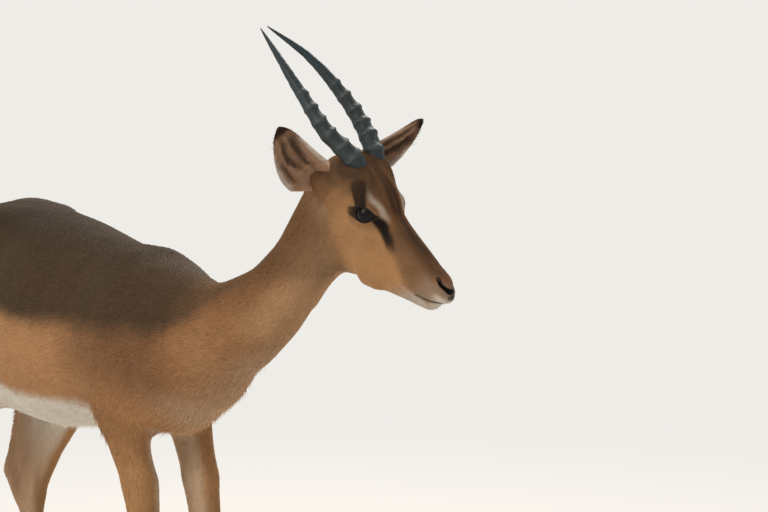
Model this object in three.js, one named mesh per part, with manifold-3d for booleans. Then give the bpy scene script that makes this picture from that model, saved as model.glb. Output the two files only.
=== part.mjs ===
// Impala, a young ram standing square with its head turned a little to its left.
// Millimetres, +Z up. X runs forward, Y to the animal's left. While the body is built, X = 0 is
// the line of the right foreleg; at the end the whole animal is moved so that the origin lies on
// the ground under the middle of its bounding box.
//
// The flesh is one smooth field of tapered capsules (bones and muscles) and three lofted forms
// (barrel, muzzle, hoof walls). Each body part is meshed from that same field in a frame of its
// own and parted from its neighbours by thin flat cuts, so the outline runs on across every cut.

import * as THREE from 'three';
import { SimplifyModifier } from 'three/addons/modifiers/SimplifyModifier.js';
import { mergeVertices } from 'three/addons/utils/BufferGeometryUtils.js';
import Module from 'manifold-3d';

const wasm = await Module();
wasm.setup();

// ---------------------------------------------------------------- driving dimensions

const GAP = 0.3;                       // clear space between neighbouring solids

const WITHERS = 744;                   // height of the shoulder blades' tops
const CROUP = 757;                     // height of the back over the loins, its highest line
const BRISKET = 470;                   // underside of the chest between the forelegs
const BELLY = 437;                     // lowest line of the belly

const ELBOW = new THREE.Vector3(-42, 62, 512);      // joints of the left foreleg, side = +1
const CARPUS = new THREE.Vector3(24, 49, 290);
const FORE_FETLOCK = new THREE.Vector3(21, 47, 98);
const FORE_STEP = 36;                  // how far the left forefoot stands ahead of the right

const HIP = new THREE.Vector3(-492, 56, 648);
const STIFLE = new THREE.Vector3(-408, 90, 505);
const HOCK = new THREE.Vector3(-530, 60, 290);
const HIND_FETLOCK = new THREE.Vector3(-512, 56, 98);
const HEEL_OF_HOCK = new THREE.Vector3(-580, 53, 317);
const HIND_TURN = 14;                  // degrees that the hind legs point outward

const HOOF_HEIGHT = 40;                // coronet above the ground
const HOOF_LENGTH = 56;
const CLAW_WIDTH = 21;
const CLAW_CLEFT = 1.2;                // between the two claws of a foot, at their widest
const CLAW_SPLAY = 0.035;              // how far each claw turns outward, radians
const HOOF_AHEAD = 36;                 // middle of a hoof ahead of its fetlock

const EYES = new THREE.Vector3(386, 122, 840);      // midpoint between the two eyes
const HEAD_YAW = 28;                   // degrees to the animal's left
const HEAD_PITCH = 39.4;               // degrees that the muzzle points down
const HEAD_ROLL = 6.5;                 // degrees, left side higher
const MUZZLE_LENGTH = 163;             // from between the eyes to the tip of the nose
const EYE_SPREAD = 31;                 // centre of an eyeball from the middle of the head
const EYE_RADIUS = 16.5;
const EYE_OPENING = { length: 28, height: 19 };
const EYE_SLANT = 0.5;                 // how far the front corner of the eye rises, radians

const HORN_BASE_RADIUS = 15;
const HORN_RINGS = 8;
const EAR_LENGTH = 128;
const EAR_WIDTH = 69;
const EAR_BOW = 9.5;                   // how far the right ear's blade bulges to its lower edge
const EAR_THICKNESS = 3.2;

const TAIL_WIDTH = 38;
const CLEARANCE = 1.5;                 // between flesh and the roots of ears and tail

// ---------------------------------------------------------------- small vector tools

const vec = (x, y, z) => new THREE.Vector3(x, y, z);
const mirrored = (v, side) => vec(v.x, v.y * side, v.z);
const lerp = THREE.MathUtils.lerp;
const clamp = THREE.MathUtils.clamp;
const WORLD = new THREE.Matrix4();
const LATERAL = vec(0, 1, 0);
const UPRIGHT = vec(0, 0, 1);
const DEGREE = Math.PI / 180;

/** Smooth curve through evenly spread values, u from 0 to 1. */
function along(values, u) {
  const last = values.length - 1;
  const place = clamp(u, 0, 1) * last;
  const i = Math.min(Math.floor(place), last - 1);
  const t = place - i;
  const a = values[Math.max(i - 1, 0)];
  const b = values[i];
  const c = values[i + 1];
  const d = values[Math.min(i + 2, last)];
  return b + 0.5 * t * (c - a + t * (2 * a - 5 * b + 4 * c - d + t * (3 * (b - c) + d - a)));
}

// ---------------------------------------------------------------- the field of flesh

/** Tapered capsule from a to b. A squash under 1 thins it along the given axis. */
function limb(a, b, ra, rb, squash = 1, axis = LATERAL) {
  const stretch = (v) => v.addScaledVector(axis, (1 / squash - 1) * v.dot(axis));
  const bone = stretch(b.clone().sub(a));
  const boneLength2 = Math.max(bone.lengthSq(), 1e-9);
  const scale = Math.sqrt(squash);
  const q = new THREE.Vector3();
  return (p) => {
    stretch(q.copy(p).sub(a));
    const t = clamp(q.dot(bone) / boneLength2, 0, 1);
    return (q.addScaledVector(bone, -t).length() - lerp(ra, rb, t)) * scale;
  };
}

/** Capsules strung along a line of [point, radius] pairs. */
function chain(knots, squash, axis) {
  const pieces = [];
  for (let i = 1; i < knots.length; i += 1) {
    pieces.push(limb(knots[i - 1][0], knots[i][0], knots[i - 1][1], knots[i][1], squash, axis));
  }
  return (p) => Math.min(...pieces.map((piece) => piece(p)));
}

/** Rounds the meeting of two surfaces over the width k. */
function blend(a, b, k) {
  const h = Math.max(k - Math.abs(a - b), 0) / k;
  return Math.min(a, b) - h * h * k * 0.25;
}

/**
 * Long form with an egg-shaped section. Each profile gives values spread evenly from x0 to x1:
 * top and bottom line, half width, and the share of the height at which it is widest.
 */
function loft(x0, x1, top, bottom, half, widest, power = 2.2) {
  return (p) => {
    const u = (p.x - x0) / (x1 - x0);
    const high = along(top, u);
    const low = along(bottom, u);
    const wide = along(half, u);
    const middle = lerp(low, high, along(widest, u));
    const reach = p.z > middle ? high - middle : middle - low;
    const across = Math.abs(p.y) / wide;
    const up = Math.abs(p.z - middle) / reach;
    const section = (across ** power + up ** power) ** (1 / power);
    const outside = (section - 1) * Math.min(wide, reach);
    const beyond = Math.max(x0 - p.x, p.x - x1);
    return beyond > 0 ? Math.hypot(Math.max(outside, 0), beyond) : Math.max(outside, beyond);
  };
}

const BARREL_REAR = -600;
const BARREL_FRONT = 140;

/** Chest, ribs, belly and loins, without the limbs' muscles. */
const barrel = loft(BARREL_REAR, BARREL_FRONT,
  [704, 738, CROUP - 5, CROUP, CROUP - 6, 740, 730, 723, 694, 672],
  [612, 512, 448, BELLY + 1, BELLY, 451, 465, BRISKET + 3, 486, 542],
  [44, 84, 106, 119, 124, 117, 100, 84, 66, 46],
  [0.55, 0.5, 0.48, 0.46, 0.44, 0.46, 0.5, 0.52, 0.52, 0.5]);

function foreleg(side) {
  const step = side > 0 ? FORE_STEP : 0;
  const at = (x, y, z, share = 0) => vec(x + step * share, y * side, z);
  const elbow = at(ELBOW.x, ELBOW.y, ELBOW.z, -0.5);
  const forearm = at(5, 53, 400, -0.2);
  const carpus = at(CARPUS.x, CARPUS.y, CARPUS.z, 0.2);
  const knee = at(CARPUS.x + 1, CARPUS.y, CARPUS.z - 18, 0.3);
  const fetlock = at(FORE_FETLOCK.x, FORE_FETLOCK.y, FORE_FETLOCK.z, 0.94);
  const hoofTop = at(FORE_FETLOCK.x + 27, FORE_FETLOCK.y, HOOF_HEIGHT + 6, 1);
  return [
    [limb(at(-52, 30, WITHERS - 66), at(70, 57, 592), 48, 41, 0.5), 36],          // shoulder blade
    [limb(at(-52, 22, WITHERS - 25), at(36, 46, 640), 11, 13), 26],               // its crest
    [limb(at(70, 57, 588, -0.1), at(-30, 62, 532, -0.4), 39, 38, 0.64), 30],      // upper arm
    [limb(at(-34, 56, 640), at(-60, 63, 548, -0.4), 60, 38, 0.52), 30],           // triceps
    [limb(at(-70, 62, 560, -0.4), at(-88, 63, 528, -0.5), 22, 11), 16],           // point of elbow
    [limb(elbow, forearm, 42, 30, 0.78), 24],
    [limb(forearm, carpus, 29, 21, 0.92), 12],
    [limb(at(CARPUS.x + 2, CARPUS.y, CARPUS.z + 12, 0.2), knee, 22, 18.5, 0.95), 10],
    [limb(knee, at(20, 47, 112, 0.92), 15.5, 14, 0.84), 10],                      // cannon
    [limb(at(12, 48, 240, 0.42), at(9, 47, 108, 0.93), 9, 10, 0.8), 8],           // its tendons
    [limb(fetlock, fetlock, 18, 18, 0.92), 9],
    [limb(fetlock, hoofTop, 16, 17, 0.98), 9],                                    // pastern
  ];
}

function hindleg(side) {
  const at = (x, y, z) => vec(x, y * side, z);
  const stifle = mirrored(STIFLE, side);
  const hock = mirrored(HOCK, side);
  const heel = mirrored(HEEL_OF_HOCK, side);
  const fetlock = mirrored(HIND_FETLOCK, side);
  const hoofTop = at(HIND_FETLOCK.x + 27, HIND_FETLOCK.y + 4, HOOF_HEIGHT + 6);
  const across = LATERAL.clone().applyAxisAngle(UPRIGHT, side * HIND_TURN * DEGREE);
  return [
    [limb(at(-424, 54, 696), at(-562, 38, 684), 42, 44, 0.8), 40],                // hip and rump
    [limb(mirrored(HIP, side), at(-436, 80, 530), 88, 60, 0.6), 36],              // thigh
    [limb(at(-578, 36, 660), at(-538, 62, 478), 42, 40, 0.72), 34],               // hamstrings
    [limb(stifle, stifle, 44, 44, 0.72, across), 30],
    [limb(at(-440, 88, 486), at(-516, 68, 348), 56, 32, 0.62, across), 26],       // gaskin
    [limb(at(-516, 68, 348), hock, 31, 26, 0.76, across), 14],
    [limb(at(-542, 66, 450), heel, 25, 12, 0.72, across), 24],                    // hamstring cord
    [limb(heel, at(-546, 57, 280), 13, 19, 0.8, across), 14],
    [limb(at(-528, 60, 284), at(-515, 56, 112), 21, 14, 0.78, across), 12],       // cannon
    [limb(at(-542, 57, 256), at(-529, 54, 112), 10, 9.5, 0.8, across), 8],        // its tendons
    [limb(at(-534, 53, 152), at(-533, 53, 122), 7, 10, 0.9, across), 8],          // dark hair tuft
    [limb(fetlock, fetlock, 18, 18, 0.92), 9],
    [limb(fetlock, hoofTop, 16, 16.5, 0.98), 9],
  ];
}

/** Neck: strung sections, deeper than wide, curving up and round to the left. */
function neckFlesh() {
  const knots = [
    [vec(54, 0, 604), 93],
    [vec(138, 4, 624), 75],
    [vec(203, 14, 660), 65],
    [vec(244, 29, 692), 55],
    [vec(266, 45, 724), 49],
    [vec(285, 63, 755), 49],
    [vec(302, 79, 790), 54],
    [vec(314, 90, 838), 50],
  ];
  const narrowing = [0.62, 0.64, 0.68, 0.7, 0.71, 0.73, 0.76];
  const pieces = [];
  for (let i = 0; i < narrowing.length; i += 1) {
    const yaw = lerp(0, HEAD_YAW, i / (narrowing.length - 1)) * DEGREE;
    const lateral = LATERAL.clone().applyAxisAngle(UPRIGHT, yaw);
    pieces.push([limb(knots[i][0], knots[i + 1][0], knots[i][1], knots[i + 1][1],
      narrowing[i], lateral), 16]);
  }
  pieces[0][1] = 60;
  return pieces;
}

// ---------------------------------------------------------------- head

const headFrame = new THREE.Matrix4()
  .makeTranslation(EYES.x, EYES.y, EYES.z)
  .multiply(new THREE.Matrix4().makeRotationFromEuler(new THREE.Euler(
    HEAD_ROLL * DEGREE,
    HEAD_PITCH * DEGREE,
    HEAD_YAW * DEGREE,
    'ZYX')));
const toHead = headFrame.clone().invert();

/** The head's flesh in its own frame: x to the nose, y left, z up, origin between the eyes. */
function headFlesh() {
  const NOSE = MUZZLE_LENGTH;
  const muzzle = loft(-30, NOSE - 18,
    [30, 25, 19, 12, 8, 5, 1.5, -3],
    [-88, -86, -78, -68, -58, -51, -47, -42],
    [31, 34, 33, 29.5, 26, 23.5, 22, 19],
    [0.56, 0.5, 0.48, 0.46, 0.46, 0.48, 0.5, 0.5], 2.4);
  const pieces = [
    [muzzle, 10],
    [limb(vec(-62, 0, -6), vec(-20, 0, -2), 42, 40, 0.94), 16],                   // brain case
    [limb(vec(-50, 0, 16), vec(-8, 0, 3), 27, 19, 1.15), 22],                     // forehead
    [limb(vec(NOSE - 26, 0, -17), vec(NOSE - 14, 0, -18.5), 16.5, 14.5, 1.1), 10], // nose
    [limb(vec(NOSE - 30, 0, -30), vec(NOSE - 11, 0, -27), 17, 12.5, 1.12), 8],    // upper lip
    [limb(vec(56, 0, -80), vec(NOSE - 20, 0, -49), 15, 10.5, 1.2), 13],           // lower jaw
    [limb(vec(NOSE - 36, 0, -52), vec(NOSE - 17, 0, -46.5), 11.5, 9.5, 1.2), 8],  // chin
    [limb(vec(-36, 0, -64), vec(30, 0, -86), 38, 24, 0.7), 16],                   // throat
  ];
  for (const side of [1, -1]) {
    const at = (x, y, z) => vec(x, y * side, z);
    pieces.push(
      [limb(at(-14, 29, -60), at(26, 24, -72), 34, 27, 0.4), 16],                 // cheek
      [limb(at(-2, 20, -88), at(64, 14, -79), 15, 12), 12],                       // jawbone
      [limb(at(34, 16, -62), at(112, 11, -48), 20, 12), 12],                      // corner of the mouth
      [limb(at(-26, 32, 11), at(8, 31, 9), 11, 6.5), 12],                         // brow
      [limb(at(-30, 35, -16), at(20, 30, -20), 11, 9), 12],                       // under the eye
      [limb(at(20, 24, -12), at(92, 14, -18), 12, 12), 12],                       // cheek bone
      [limb(at(-5, 28, 2), at(6, 28, -1), 15, 14), 8],                            // orbit
      [limb(at(-40, 22, 12), at(-57, 23, 33), 19, 18), 12],                       // horn pedicle
      [limb(at(-72, 30, -18), at(-86, 40, -14), 21, 15), 16],                     // root of the ear
    );
  }
  return pieces;
}

/** Joins the pieces one after another, each with its own rounding. */
function unite(pieces) {
  return (p) => {
    let d = pieces[0][0](p);
    for (let i = 1; i < pieces.length; i += 1) {
      d = blend(d, pieces[i][0](p), pieces[i][1]);
    }
    return d;
  };
}

const headInOwnFrame = unite(headFlesh());
const bodyInWorld = unite([
  [barrel, 0],
  ...[1, -1].flatMap((side) => [...foreleg(side), ...hindleg(side)]),
  ...neckFlesh(),
]);
const localPoint = new THREE.Vector3();

/** The whole animal's flesh: negative inside, roughly a distance in millimetres. */
function flesh(p) {
  const head = headInOwnFrame(localPoint.copy(p).applyMatrix4(toHead));
  return blend(bodyInWorld(p), head, 26);
}

// ---------------------------------------------------------------- meshing a field

/** Evenly spaced grid lines from a to b, about step apart. */
function lines(a, b, step) {
  const count = Math.max(Math.round((b - a) / step), 2);
  return Array.from({ length: count + 1 }, (_, i) => lerp(a, b, i / count));
}

/** Moves p on to the surface where the field is zero. */
function settle(field, p, reach) {
  const EPS = 0.05;
  const q = new THREE.Vector3();
  const slope = new THREE.Vector3();
  const start = p.clone();
  for (let turn = 0; turn < 6; turn += 1) {
    const f = field(p);
    slope.set(
      field(q.copy(p).setX(p.x + EPS)) - f,
      field(q.copy(p).setY(p.y + EPS)) - f,
      field(q.copy(p).setZ(p.z + EPS)) - f).divideScalar(EPS);
    p.addScaledVector(slope, -f / Math.max(slope.lengthSq(), 0.05));
  }
  return p.distanceTo(start) < reach ? p : start;
}

/** Corners of a unit cell, and its edges and faces as lists of corner and edge numbers. */
const CORNERS = [0, 1].flatMap((a) => [0, 1].flatMap((b) => [0, 1].map((c) => [a, b, c])));
const STEPS = [[1, 0, 0], [0, 1, 0], [0, 0, 1]];
const EDGES = [];
CORNERS.forEach((corner, from) => STEPS.forEach((step, axis) => {
  if (corner[axis] === 0) EDGES.push({ from, to: from + [4, 2, 1][axis], axis });
}));
const FACES = [0, 1, 2].flatMap((axis) => [0, 1].map((level) => {
  const rim = CORNERS.map((corner, n) => n).filter((n) => CORNERS[n][axis] === level);
  const edges = EDGES.map((edge, n) => n)
    .filter((n) => rim.includes(EDGES[n].from) && rim.includes(EDGES[n].to));
  return { rim, edges };
}));

/** Sorts the crossed edges of a cell into sheets of surface, by the sign at each corner. */
function sheets(inside) {
  const crossed = (n) => inside[EDGES[n].from] !== inside[EDGES[n].to];
  const sheet = EDGES.map((edge, n) => n);
  const join = (a, b) => {
    const [keep, drop] = [sheet[a], sheet[b]];
    sheet.forEach((value, n) => {
      if (value === drop) sheet[n] = keep;
    });
  };
  for (const { rim, edges } of FACES) {
    const cut = edges.filter(crossed);
    if (cut.length === 2) join(...cut);
    if (cut.length === 4) {
      for (const corner of rim.filter((n) => inside[n])) {
        join(...cut.filter((n) => EDGES[n].from === corner || EDGES[n].to === corner));
      }
    }
  }
  const names = [...new Set(sheet.filter((value, n) => crossed(n)))];
  return names.map((name) => EDGES.map((edge, n) => n).filter((n) => crossed(n) && sheet[n] === name));
}

/**
 * Surface net of a field on a grid: one vertex for each sheet of surface in a cell, and one pair
 * of triangles for each grid edge that the surface crosses.
 */
function surfaceNet(field, xs, ys, zs) {
  const axes = [xs, ys, zs];
  const size = axes.map((axis) => axis.length);
  const key = (i, j, k) => (i * size[1] + j) * size[2] + k;
  const value = new Float64Array(size[0] * size[1] * size[2]);
  const p = new THREE.Vector3();
  const cells = [];
  for (let i = 0; i < size[0]; i += 1) {
    for (let j = 0; j < size[1]; j += 1) {
      for (let k = 0; k < size[2]; k += 1) {
        const rim = [i, j, k].some((n, axis) => n === 0 || n === size[axis] - 1);
        const f = field(p.set(xs[i], ys[j], zs[k]));
        value[key(i, j, k)] = rim ? Math.max(f, 1) : f;
        if (i && j && k) cells.push([i - 1, j - 1, k - 1]);
      }
    }
  }
  const vertexOf = new Map();
  const points = [];
  for (const cell of cells) {
    const values = CORNERS.map((c) => value[key(cell[0] + c[0], cell[1] + c[1], cell[2] + c[2])]);
    const inside = values.map((v) => v < 0);
    if (inside.every((v) => v === inside[0])) continue;
    const reach = Math.min(...cell.map((n, axis) => axes[axis][n + 1] - axes[axis][n]));
    for (const sheet of sheets(inside)) {
      const middle = vec(0, 0, 0);
      for (const n of sheet) {
        const { from, to } = EDGES[n];
        const t = values[from] / (values[from] - values[to]);
        const place = (axis) => lerp(axes[axis][cell[axis] + CORNERS[from][axis]],
          axes[axis][cell[axis] + CORNERS[to][axis]], t);
        middle.add(vec(place(0), place(1), place(2)));
        vertexOf.set(key(...cell) * EDGES.length + n, points.length);
      }
      points.push(settle(field, middle.divideScalar(sheet.length), reach));
    }
  }
  const triangles = [];
  const addQuad = (a, b, c, d) => {
    const straight = points[a].distanceToSquared(points[c]);
    const other = points[b].distanceToSquared(points[d]);
    if (straight <= other) triangles.push(a, b, c, a, c, d);
    else triangles.push(a, b, d, b, c, d);
  };
  for (const cell of cells) {
    for (const [axis, step] of STEPS.entries()) {
      const here = value[key(...cell)] < 0;
      const there = value[key(...cell.map((n, m) => n + step[m]))] < 0;
      if (here === there) continue;
      const [u, v] = [(axis + 1) % 3, (axis + 2) % 3];
      const ring = [[1, 1], [0, 1], [0, 0], [1, 0]].map(([du, dv]) => {
        const owner = [...cell];
        owner[u] -= du;
        owner[v] -= dv;
        const start = [0, 0, 0];
        start[u] = du;
        start[v] = dv;
        const n = EDGES.findIndex((edge) => edge.axis === axis
          && CORNERS[edge.from].every((c, m) => c === start[m]));
        return vertexOf.get(key(...owner) * EDGES.length + n);
      });
      if (here) addQuad(...ring);
      else addQuad(...ring.reverse());
    }
  }
  const geometry = new THREE.BufferGeometry();
  geometry.setAttribute('position', new THREE.Float32BufferAttribute(
    points.flatMap((point) => point.toArray()), 3));
  geometry.setIndex(triangles);
  return geometry;
}

// ---------------------------------------------------------------- solids

/** A closed geometry as a solid that can be joined and cut. */
function solid(geometry) {
  const bare = geometry.clone();
  bare.deleteAttribute('normal');
  bare.deleteAttribute('uv');
  const merged = mergeVertices(bare, 1e-4);
  return new wasm.Manifold(new wasm.Mesh({
    numProp: 3,
    vertProperties: new Float32Array(merged.attributes.position.array),
    triVerts: new Uint32Array(merged.index.array),
  }));
}

/** Back to a geometry, keeping the largest piece where a cut leaves slivers. */
function geometryOf(body) {
  const pieces = body.decompose().sort((a, b) => b.volume() - a.volume());
  const mesh = pieces[0].getMesh();
  const geometry = new THREE.BufferGeometry();
  geometry.setAttribute('position', new THREE.BufferAttribute(new Float32Array(mesh.vertProperties), 3));
  geometry.setIndex(new THREE.BufferAttribute(new Uint32Array(mesh.triVerts), 1));
  return geometry;
}

/** Keeps the side of a plane that its normal points to, less half the gap. */
const keep = (body, plane) => body.trimByPlane(plane.normal.toArray(),
  plane.normal.dot(plane.point) + GAP / 2);
const flip = (plane) => ({ point: plane.point, normal: plane.normal.clone().negate() });

/** Everything between two corners, as a cutter. */
function block(low, high) {
  const size = high.clone().sub(low);
  const box = new THREE.BoxGeometry(size.x, size.y, size.z);
  box.translate((low.x + high.x) / 2, (low.y + high.y) / 2, (low.z + high.z) / 2);
  return solid(box);
}

/** Fewer triangles where the form is plain, more where it bends. */
async function simplified(geometry, triangles) {
  const { count } = geometry.attributes.position;
  const share = triangles / (geometry.index.count / 3);
  return new SimplifyModifier().modify(geometry, Math.max(Math.floor(count * (1 - share)), 0));
}

/** Meshes part of the field in a frame of its own; the result is in world coordinates. */
async function carve({ frame = WORLD, low, high, step, triangles, field = flesh }) {
  const world = new THREE.Vector3();
  const fine = surfaceNet((p) => field(world.copy(p).applyMatrix4(frame)),
    lines(low.x, high.x, step.x), lines(low.y, high.y, step.y), lines(low.z, high.z, step.z));
  return solid((await simplified(fine, triangles)).applyMatrix4(frame));
}

// ---------------------------------------------------------------- where the body is parted

// The space that each leg is cut out of the trunk with: its inner wall, top, front and rear.
const FORE_SPACE = { inner: 25, top: 503, front: 62, rear: -112 };
const HIND_SPACE = { inner: 34, top: 585, front: -372, rear: -700 };

const NECK_CUT = { point: vec(134, 4, 640), normal: vec(0.87, 0.1, 0.48).normalize() };
const POLL_CUT = {
  point: vec(-104, 0, 8).applyMatrix4(headFrame),
  normal: vec(0.78, 0, 0.62).transformDirection(headFrame),
};
const STIFLE_CUT = { point: vec(-448, 0, 452), normal: vec(-0.55, 0, -0.84).normalize() };
const KNEE_CUT = { point: vec(0, 0, 264), normal: vec(0, 0, -1) };
const HOCK_CUT = { point: vec(0, 0, 272), normal: vec(0, 0, -1) };
const FETLOCK_CUT = { point: vec(0, 0, 116), normal: vec(0, 0, -1) };
const CORONET_CUT = { point: vec(0, 0, HOOF_HEIGHT), normal: vec(0, 0, -1) };

const FAR = 900;                       // reaches past the animal on every side

/** That space on one side, grown by half a gap to cut the trunk, shrunk by it to cut the leg. */
function legSpace(space, side, grow) {
  const inner = (space.inner - grow) * side;
  return block(
    vec(space.rear - grow, Math.min(inner, FAR * side), -FAR),
    vec(space.front + grow, Math.max(inner, FAR * side), space.top + grow));
}

// ---------------------------------------------------------------- materials

const coat = (color) => new THREE.MeshStandardMaterial({ color, roughness: 0.75, metalness: 0 });
const SADDLE = coat(0x7a5638);
const FAWN = coat(0xa87449);
const PALE = coat(0xc79a68);
const HORN = new THREE.MeshStandardMaterial({ color: 0x3d4246, roughness: 0.45, metalness: 0 });
const HOOF = new THREE.MeshStandardMaterial({ color: 0x2a2624, roughness: 0.5, metalness: 0 });
const EYE = new THREE.MeshStandardMaterial({ color: 0x140d0a, roughness: 0.08, metalness: 0 });

// ---------------------------------------------------------------- building the animal

const impala = new THREE.Group();
const headGroup = new THREE.Group();
headGroup.applyMatrix4(headFrame);
impala.add(headGroup);

function addMesh(name, geometry, material, parent = impala) {
  geometry.computeVertexNormals();
  const mesh = new THREE.Mesh(geometry, material);
  mesh.name = name;
  parent.add(mesh);
  return mesh;
}

const along3 = (point, x, y, z) => new THREE.Matrix4().makeBasis(x, y, z).setPosition(point);

/** A frame at a point with its x axis along a direction and its y axis kept near lateral. */
function frameAlong(point, direction) {
  const x = direction.clone().normalize();
  const z = x.clone().cross(LATERAL).normalize();
  const y = z.clone().cross(x);
  return along3(point, x, y, z);
}

async function buildTrunk(grow = 0) {
  let body = await carve({
    low: vec(-660, -150, 404),
    high: vec(240, 150, 792),
    step: vec(16, 13, 13),
    triangles: 1560,
    field: (p) => flesh(p) - grow,
  });
  body = keep(body, flip(NECK_CUT));
  for (const side of [1, -1]) {
    body = body.subtract(legSpace(FORE_SPACE, side, GAP / 2));
    body = body.subtract(legSpace(HIND_SPACE, side, GAP / 2));
  }
  return body;
}

addMesh('trunk', geometryOf(await buildTrunk()), SADDLE);

const neck = await carve({
  frame: frameAlong(vec(134, 4, 640), vec(0.66, 0.24, 0.71)),
  low: vec(-80, -120, -180),
  high: vec(345, 120, 160),
  step: vec(12, 10, 10),
  triangles: 660,
});
addMesh('neck', geometryOf(keep(keep(neck, NECK_CUT), flip(POLL_CUT))), FAWN);

// ---------------------------------------------------------------- eyes, horns and ears

/** Lofted tube: a ring of points at each station, closed by a fan at either end. */
function tube(stations, sides) {
  const points = [];
  const faces = [];
  for (const { centre, across, up, offsets } of stations) {
    for (let s = 0; s < sides; s += 1) {
      const angle = (s / sides) * 2 * Math.PI;
      const [a, b] = offsets(angle);
      points.push(centre.clone().addScaledVector(across, a).addScaledVector(up, b));
    }
  }
  const rings = stations.length;
  for (let r = 0; r < rings - 1; r += 1) {
    for (let s = 0; s < sides; s += 1) {
      const a = r * sides + s;
      const b = r * sides + ((s + 1) % sides);
      faces.push(a, b, b + sides, a, b + sides, a + sides);
    }
  }
  const first = points.length;
  points.push(stations[0].centre.clone(), stations[rings - 1].centre.clone());
  for (let s = 0; s < sides; s += 1) {
    const next = (s + 1) % sides;
    const last = (rings - 1) * sides;
    faces.push(first, next, s, first + 1, last + s, last + next);
  }
  const geometry = new THREE.BufferGeometry();
  geometry.setAttribute('position', new THREE.Float32BufferAttribute(
    points.flatMap((point) => point.toArray()), 3));
  geometry.setIndex(faces);
  return geometry;
}

/** Horn along a lyre-shaped line, ringed over its lower part and smooth to the tip. */
function hornGeometry(side, grow = 0) {
  const line = new THREE.CatmullRomCurve3([
    vec(-42, 22 * side, 8),
    vec(-58, 23 * side, 38),
    vec(-118, 42 * side, 53),
    vec(-176, 40 * side, 65),
    vec(-232, 31 * side, 73),
    vec(-301, 8 * side, 74),
  ], false, 'centripetal');
  const STATIONS = 25;
  const RINGED = 0.64;
  const RING_DEPTH = 1.3;
  const stations = [];
  for (let i = 0; i <= STATIONS; i += 1) {
    const u = i / STATIONS;
    const centre = line.getPointAt(u);
    const tangent = line.getTangentAt(u);
    const up = vec(0, 1, 0).cross(tangent).normalize().negate();
    const across = up.clone().cross(tangent).normalize();
    const taper = HORN_BASE_RADIUS * (1 - u) ** 0.75 + 1.2;
    const ringing = u < RINGED ? Math.cos(u / RINGED * HORN_RINGS * 2 * Math.PI) : 0;
    const radius = taper + RING_DEPTH * ringing * Math.sqrt(1 - u) + grow;
    stations.push({
      centre: i === 0 ? centre.addScaledVector(tangent, -grow) : centre,
      across,
      up,
      offsets: (angle) => [radius * 0.92 * Math.cos(angle), radius * Math.sin(angle)],
    });
  }
  return tube(stations, 9);
}

/** Ear: a cupped leaf with a thick rolled root, its length along x and its hollow facing z. */
function earGeometry(side, grow = 0) {
  const stations = [];
  const RINGS = 10;
  for (let i = 0; i <= RINGS; i += 1) {
    const u = i / RINGS;
    const root = Math.max(1 - u / 0.22, 0);
    const outline = Math.sin(Math.PI * Math.min((0.16 + 0.84 * u) ** 0.74, 0.992)) ** 0.5;
    const half = Math.max(EAR_WIDTH / 2 * outline, 2.4) * (1 - 0.42 * root) + grow;
    const cup = 0.62 * half * (1 - 0.55 * u) + 3 * root;
    const thick = EAR_THICKNESS * (1 + 4.5 * root) / 2 + grow;
    const lift = 9 * Math.sin(Math.PI * u) - 4 * u * u;
    stations.push({
      centre: vec(EAR_LENGTH * u, side < 0 ? EAR_BOW * Math.sin(Math.PI * u) : 0, -cup + lift),
      across: vec(0, 1, 0),
      up: vec(0, 0, 1),
      offsets: (angle) => {
        const a = Math.cos(angle);
        const bend = cup * a * a;
        return [half * a, bend + thick * Math.sin(angle) * Math.max(1 - a * a * a * a, 0.05) ** 0.5];
      },
    });
  }
  return tube(stations, 10);
}

/** Ear frame in the head: root, tip direction, and the way the hollow faces. */
function earFrame(side) {
  const root = vec(-80, 40 * side, -16);
  const tip = side > 0 ? vec(0.08, 0.75, 0.65) : vec(-0.5, -0.67, 0.55);
  const hollow = side > 0 ? vec(0.95, -0.1, 0.25) : vec(0.86, -0.47, 0.21);
  const x = tip.clone().normalize();
  const y = hollow.clone().cross(x).normalize();
  const z = x.clone().cross(y);
  return along3(root, x, y, z);
}

const eyeGeometry = (side, grow = 0) => new THREE.SphereGeometry(EYE_RADIUS + grow, 12, 7)
  .rotateZ(side * Math.PI / 2)
  .translate(0, EYE_SPREAD * side, 0);

/** The opening between the lids: an almond-shaped hole running outwards from the eyeball. */
function lidOpening(side) {
  const LIDS = 14;
  const stations = [0, 1].map((end) => ({
    centre: vec(2 * end, (EYE_SPREAD + 40 * end) * side, 0),
    across: vec(Math.cos(EYE_SLANT), 0, Math.sin(EYE_SLANT)),
    up: vec(-Math.sin(EYE_SLANT) * side, 0, Math.cos(EYE_SLANT) * side),
    offsets: (angle) => [
      EYE_OPENING.length / 2 * Math.cos(angle),
      EYE_OPENING.height / 2 * Math.sin(angle) * Math.abs(Math.sin(angle)) ** 0.25,
    ],
  }));
  return tube(stations, LIDS);
}

const carveHead = (grow = 0) => carve({
  frame: headFrame,
  low: vec(-150, -78, -180),
  high: vec(178, 78, 72),
  step: vec(5.4, 5, 5),
  triangles: 1660,
  field: (p) => flesh(p) - grow,
});

let head = keep(await carveHead(), POLL_CUT);
for (const side of [1, -1]) {
  for (const cutter of [eyeGeometry(side, GAP), lidOpening(side), hornGeometry(side, GAP)]) {
    head = head.subtract(solid(cutter.applyMatrix4(headFrame)));
  }
}
addMesh('head', geometryOf(head).applyMatrix4(toHead), PALE, headGroup);

const grownHead = await carveHead(CLEARANCE);

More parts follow.
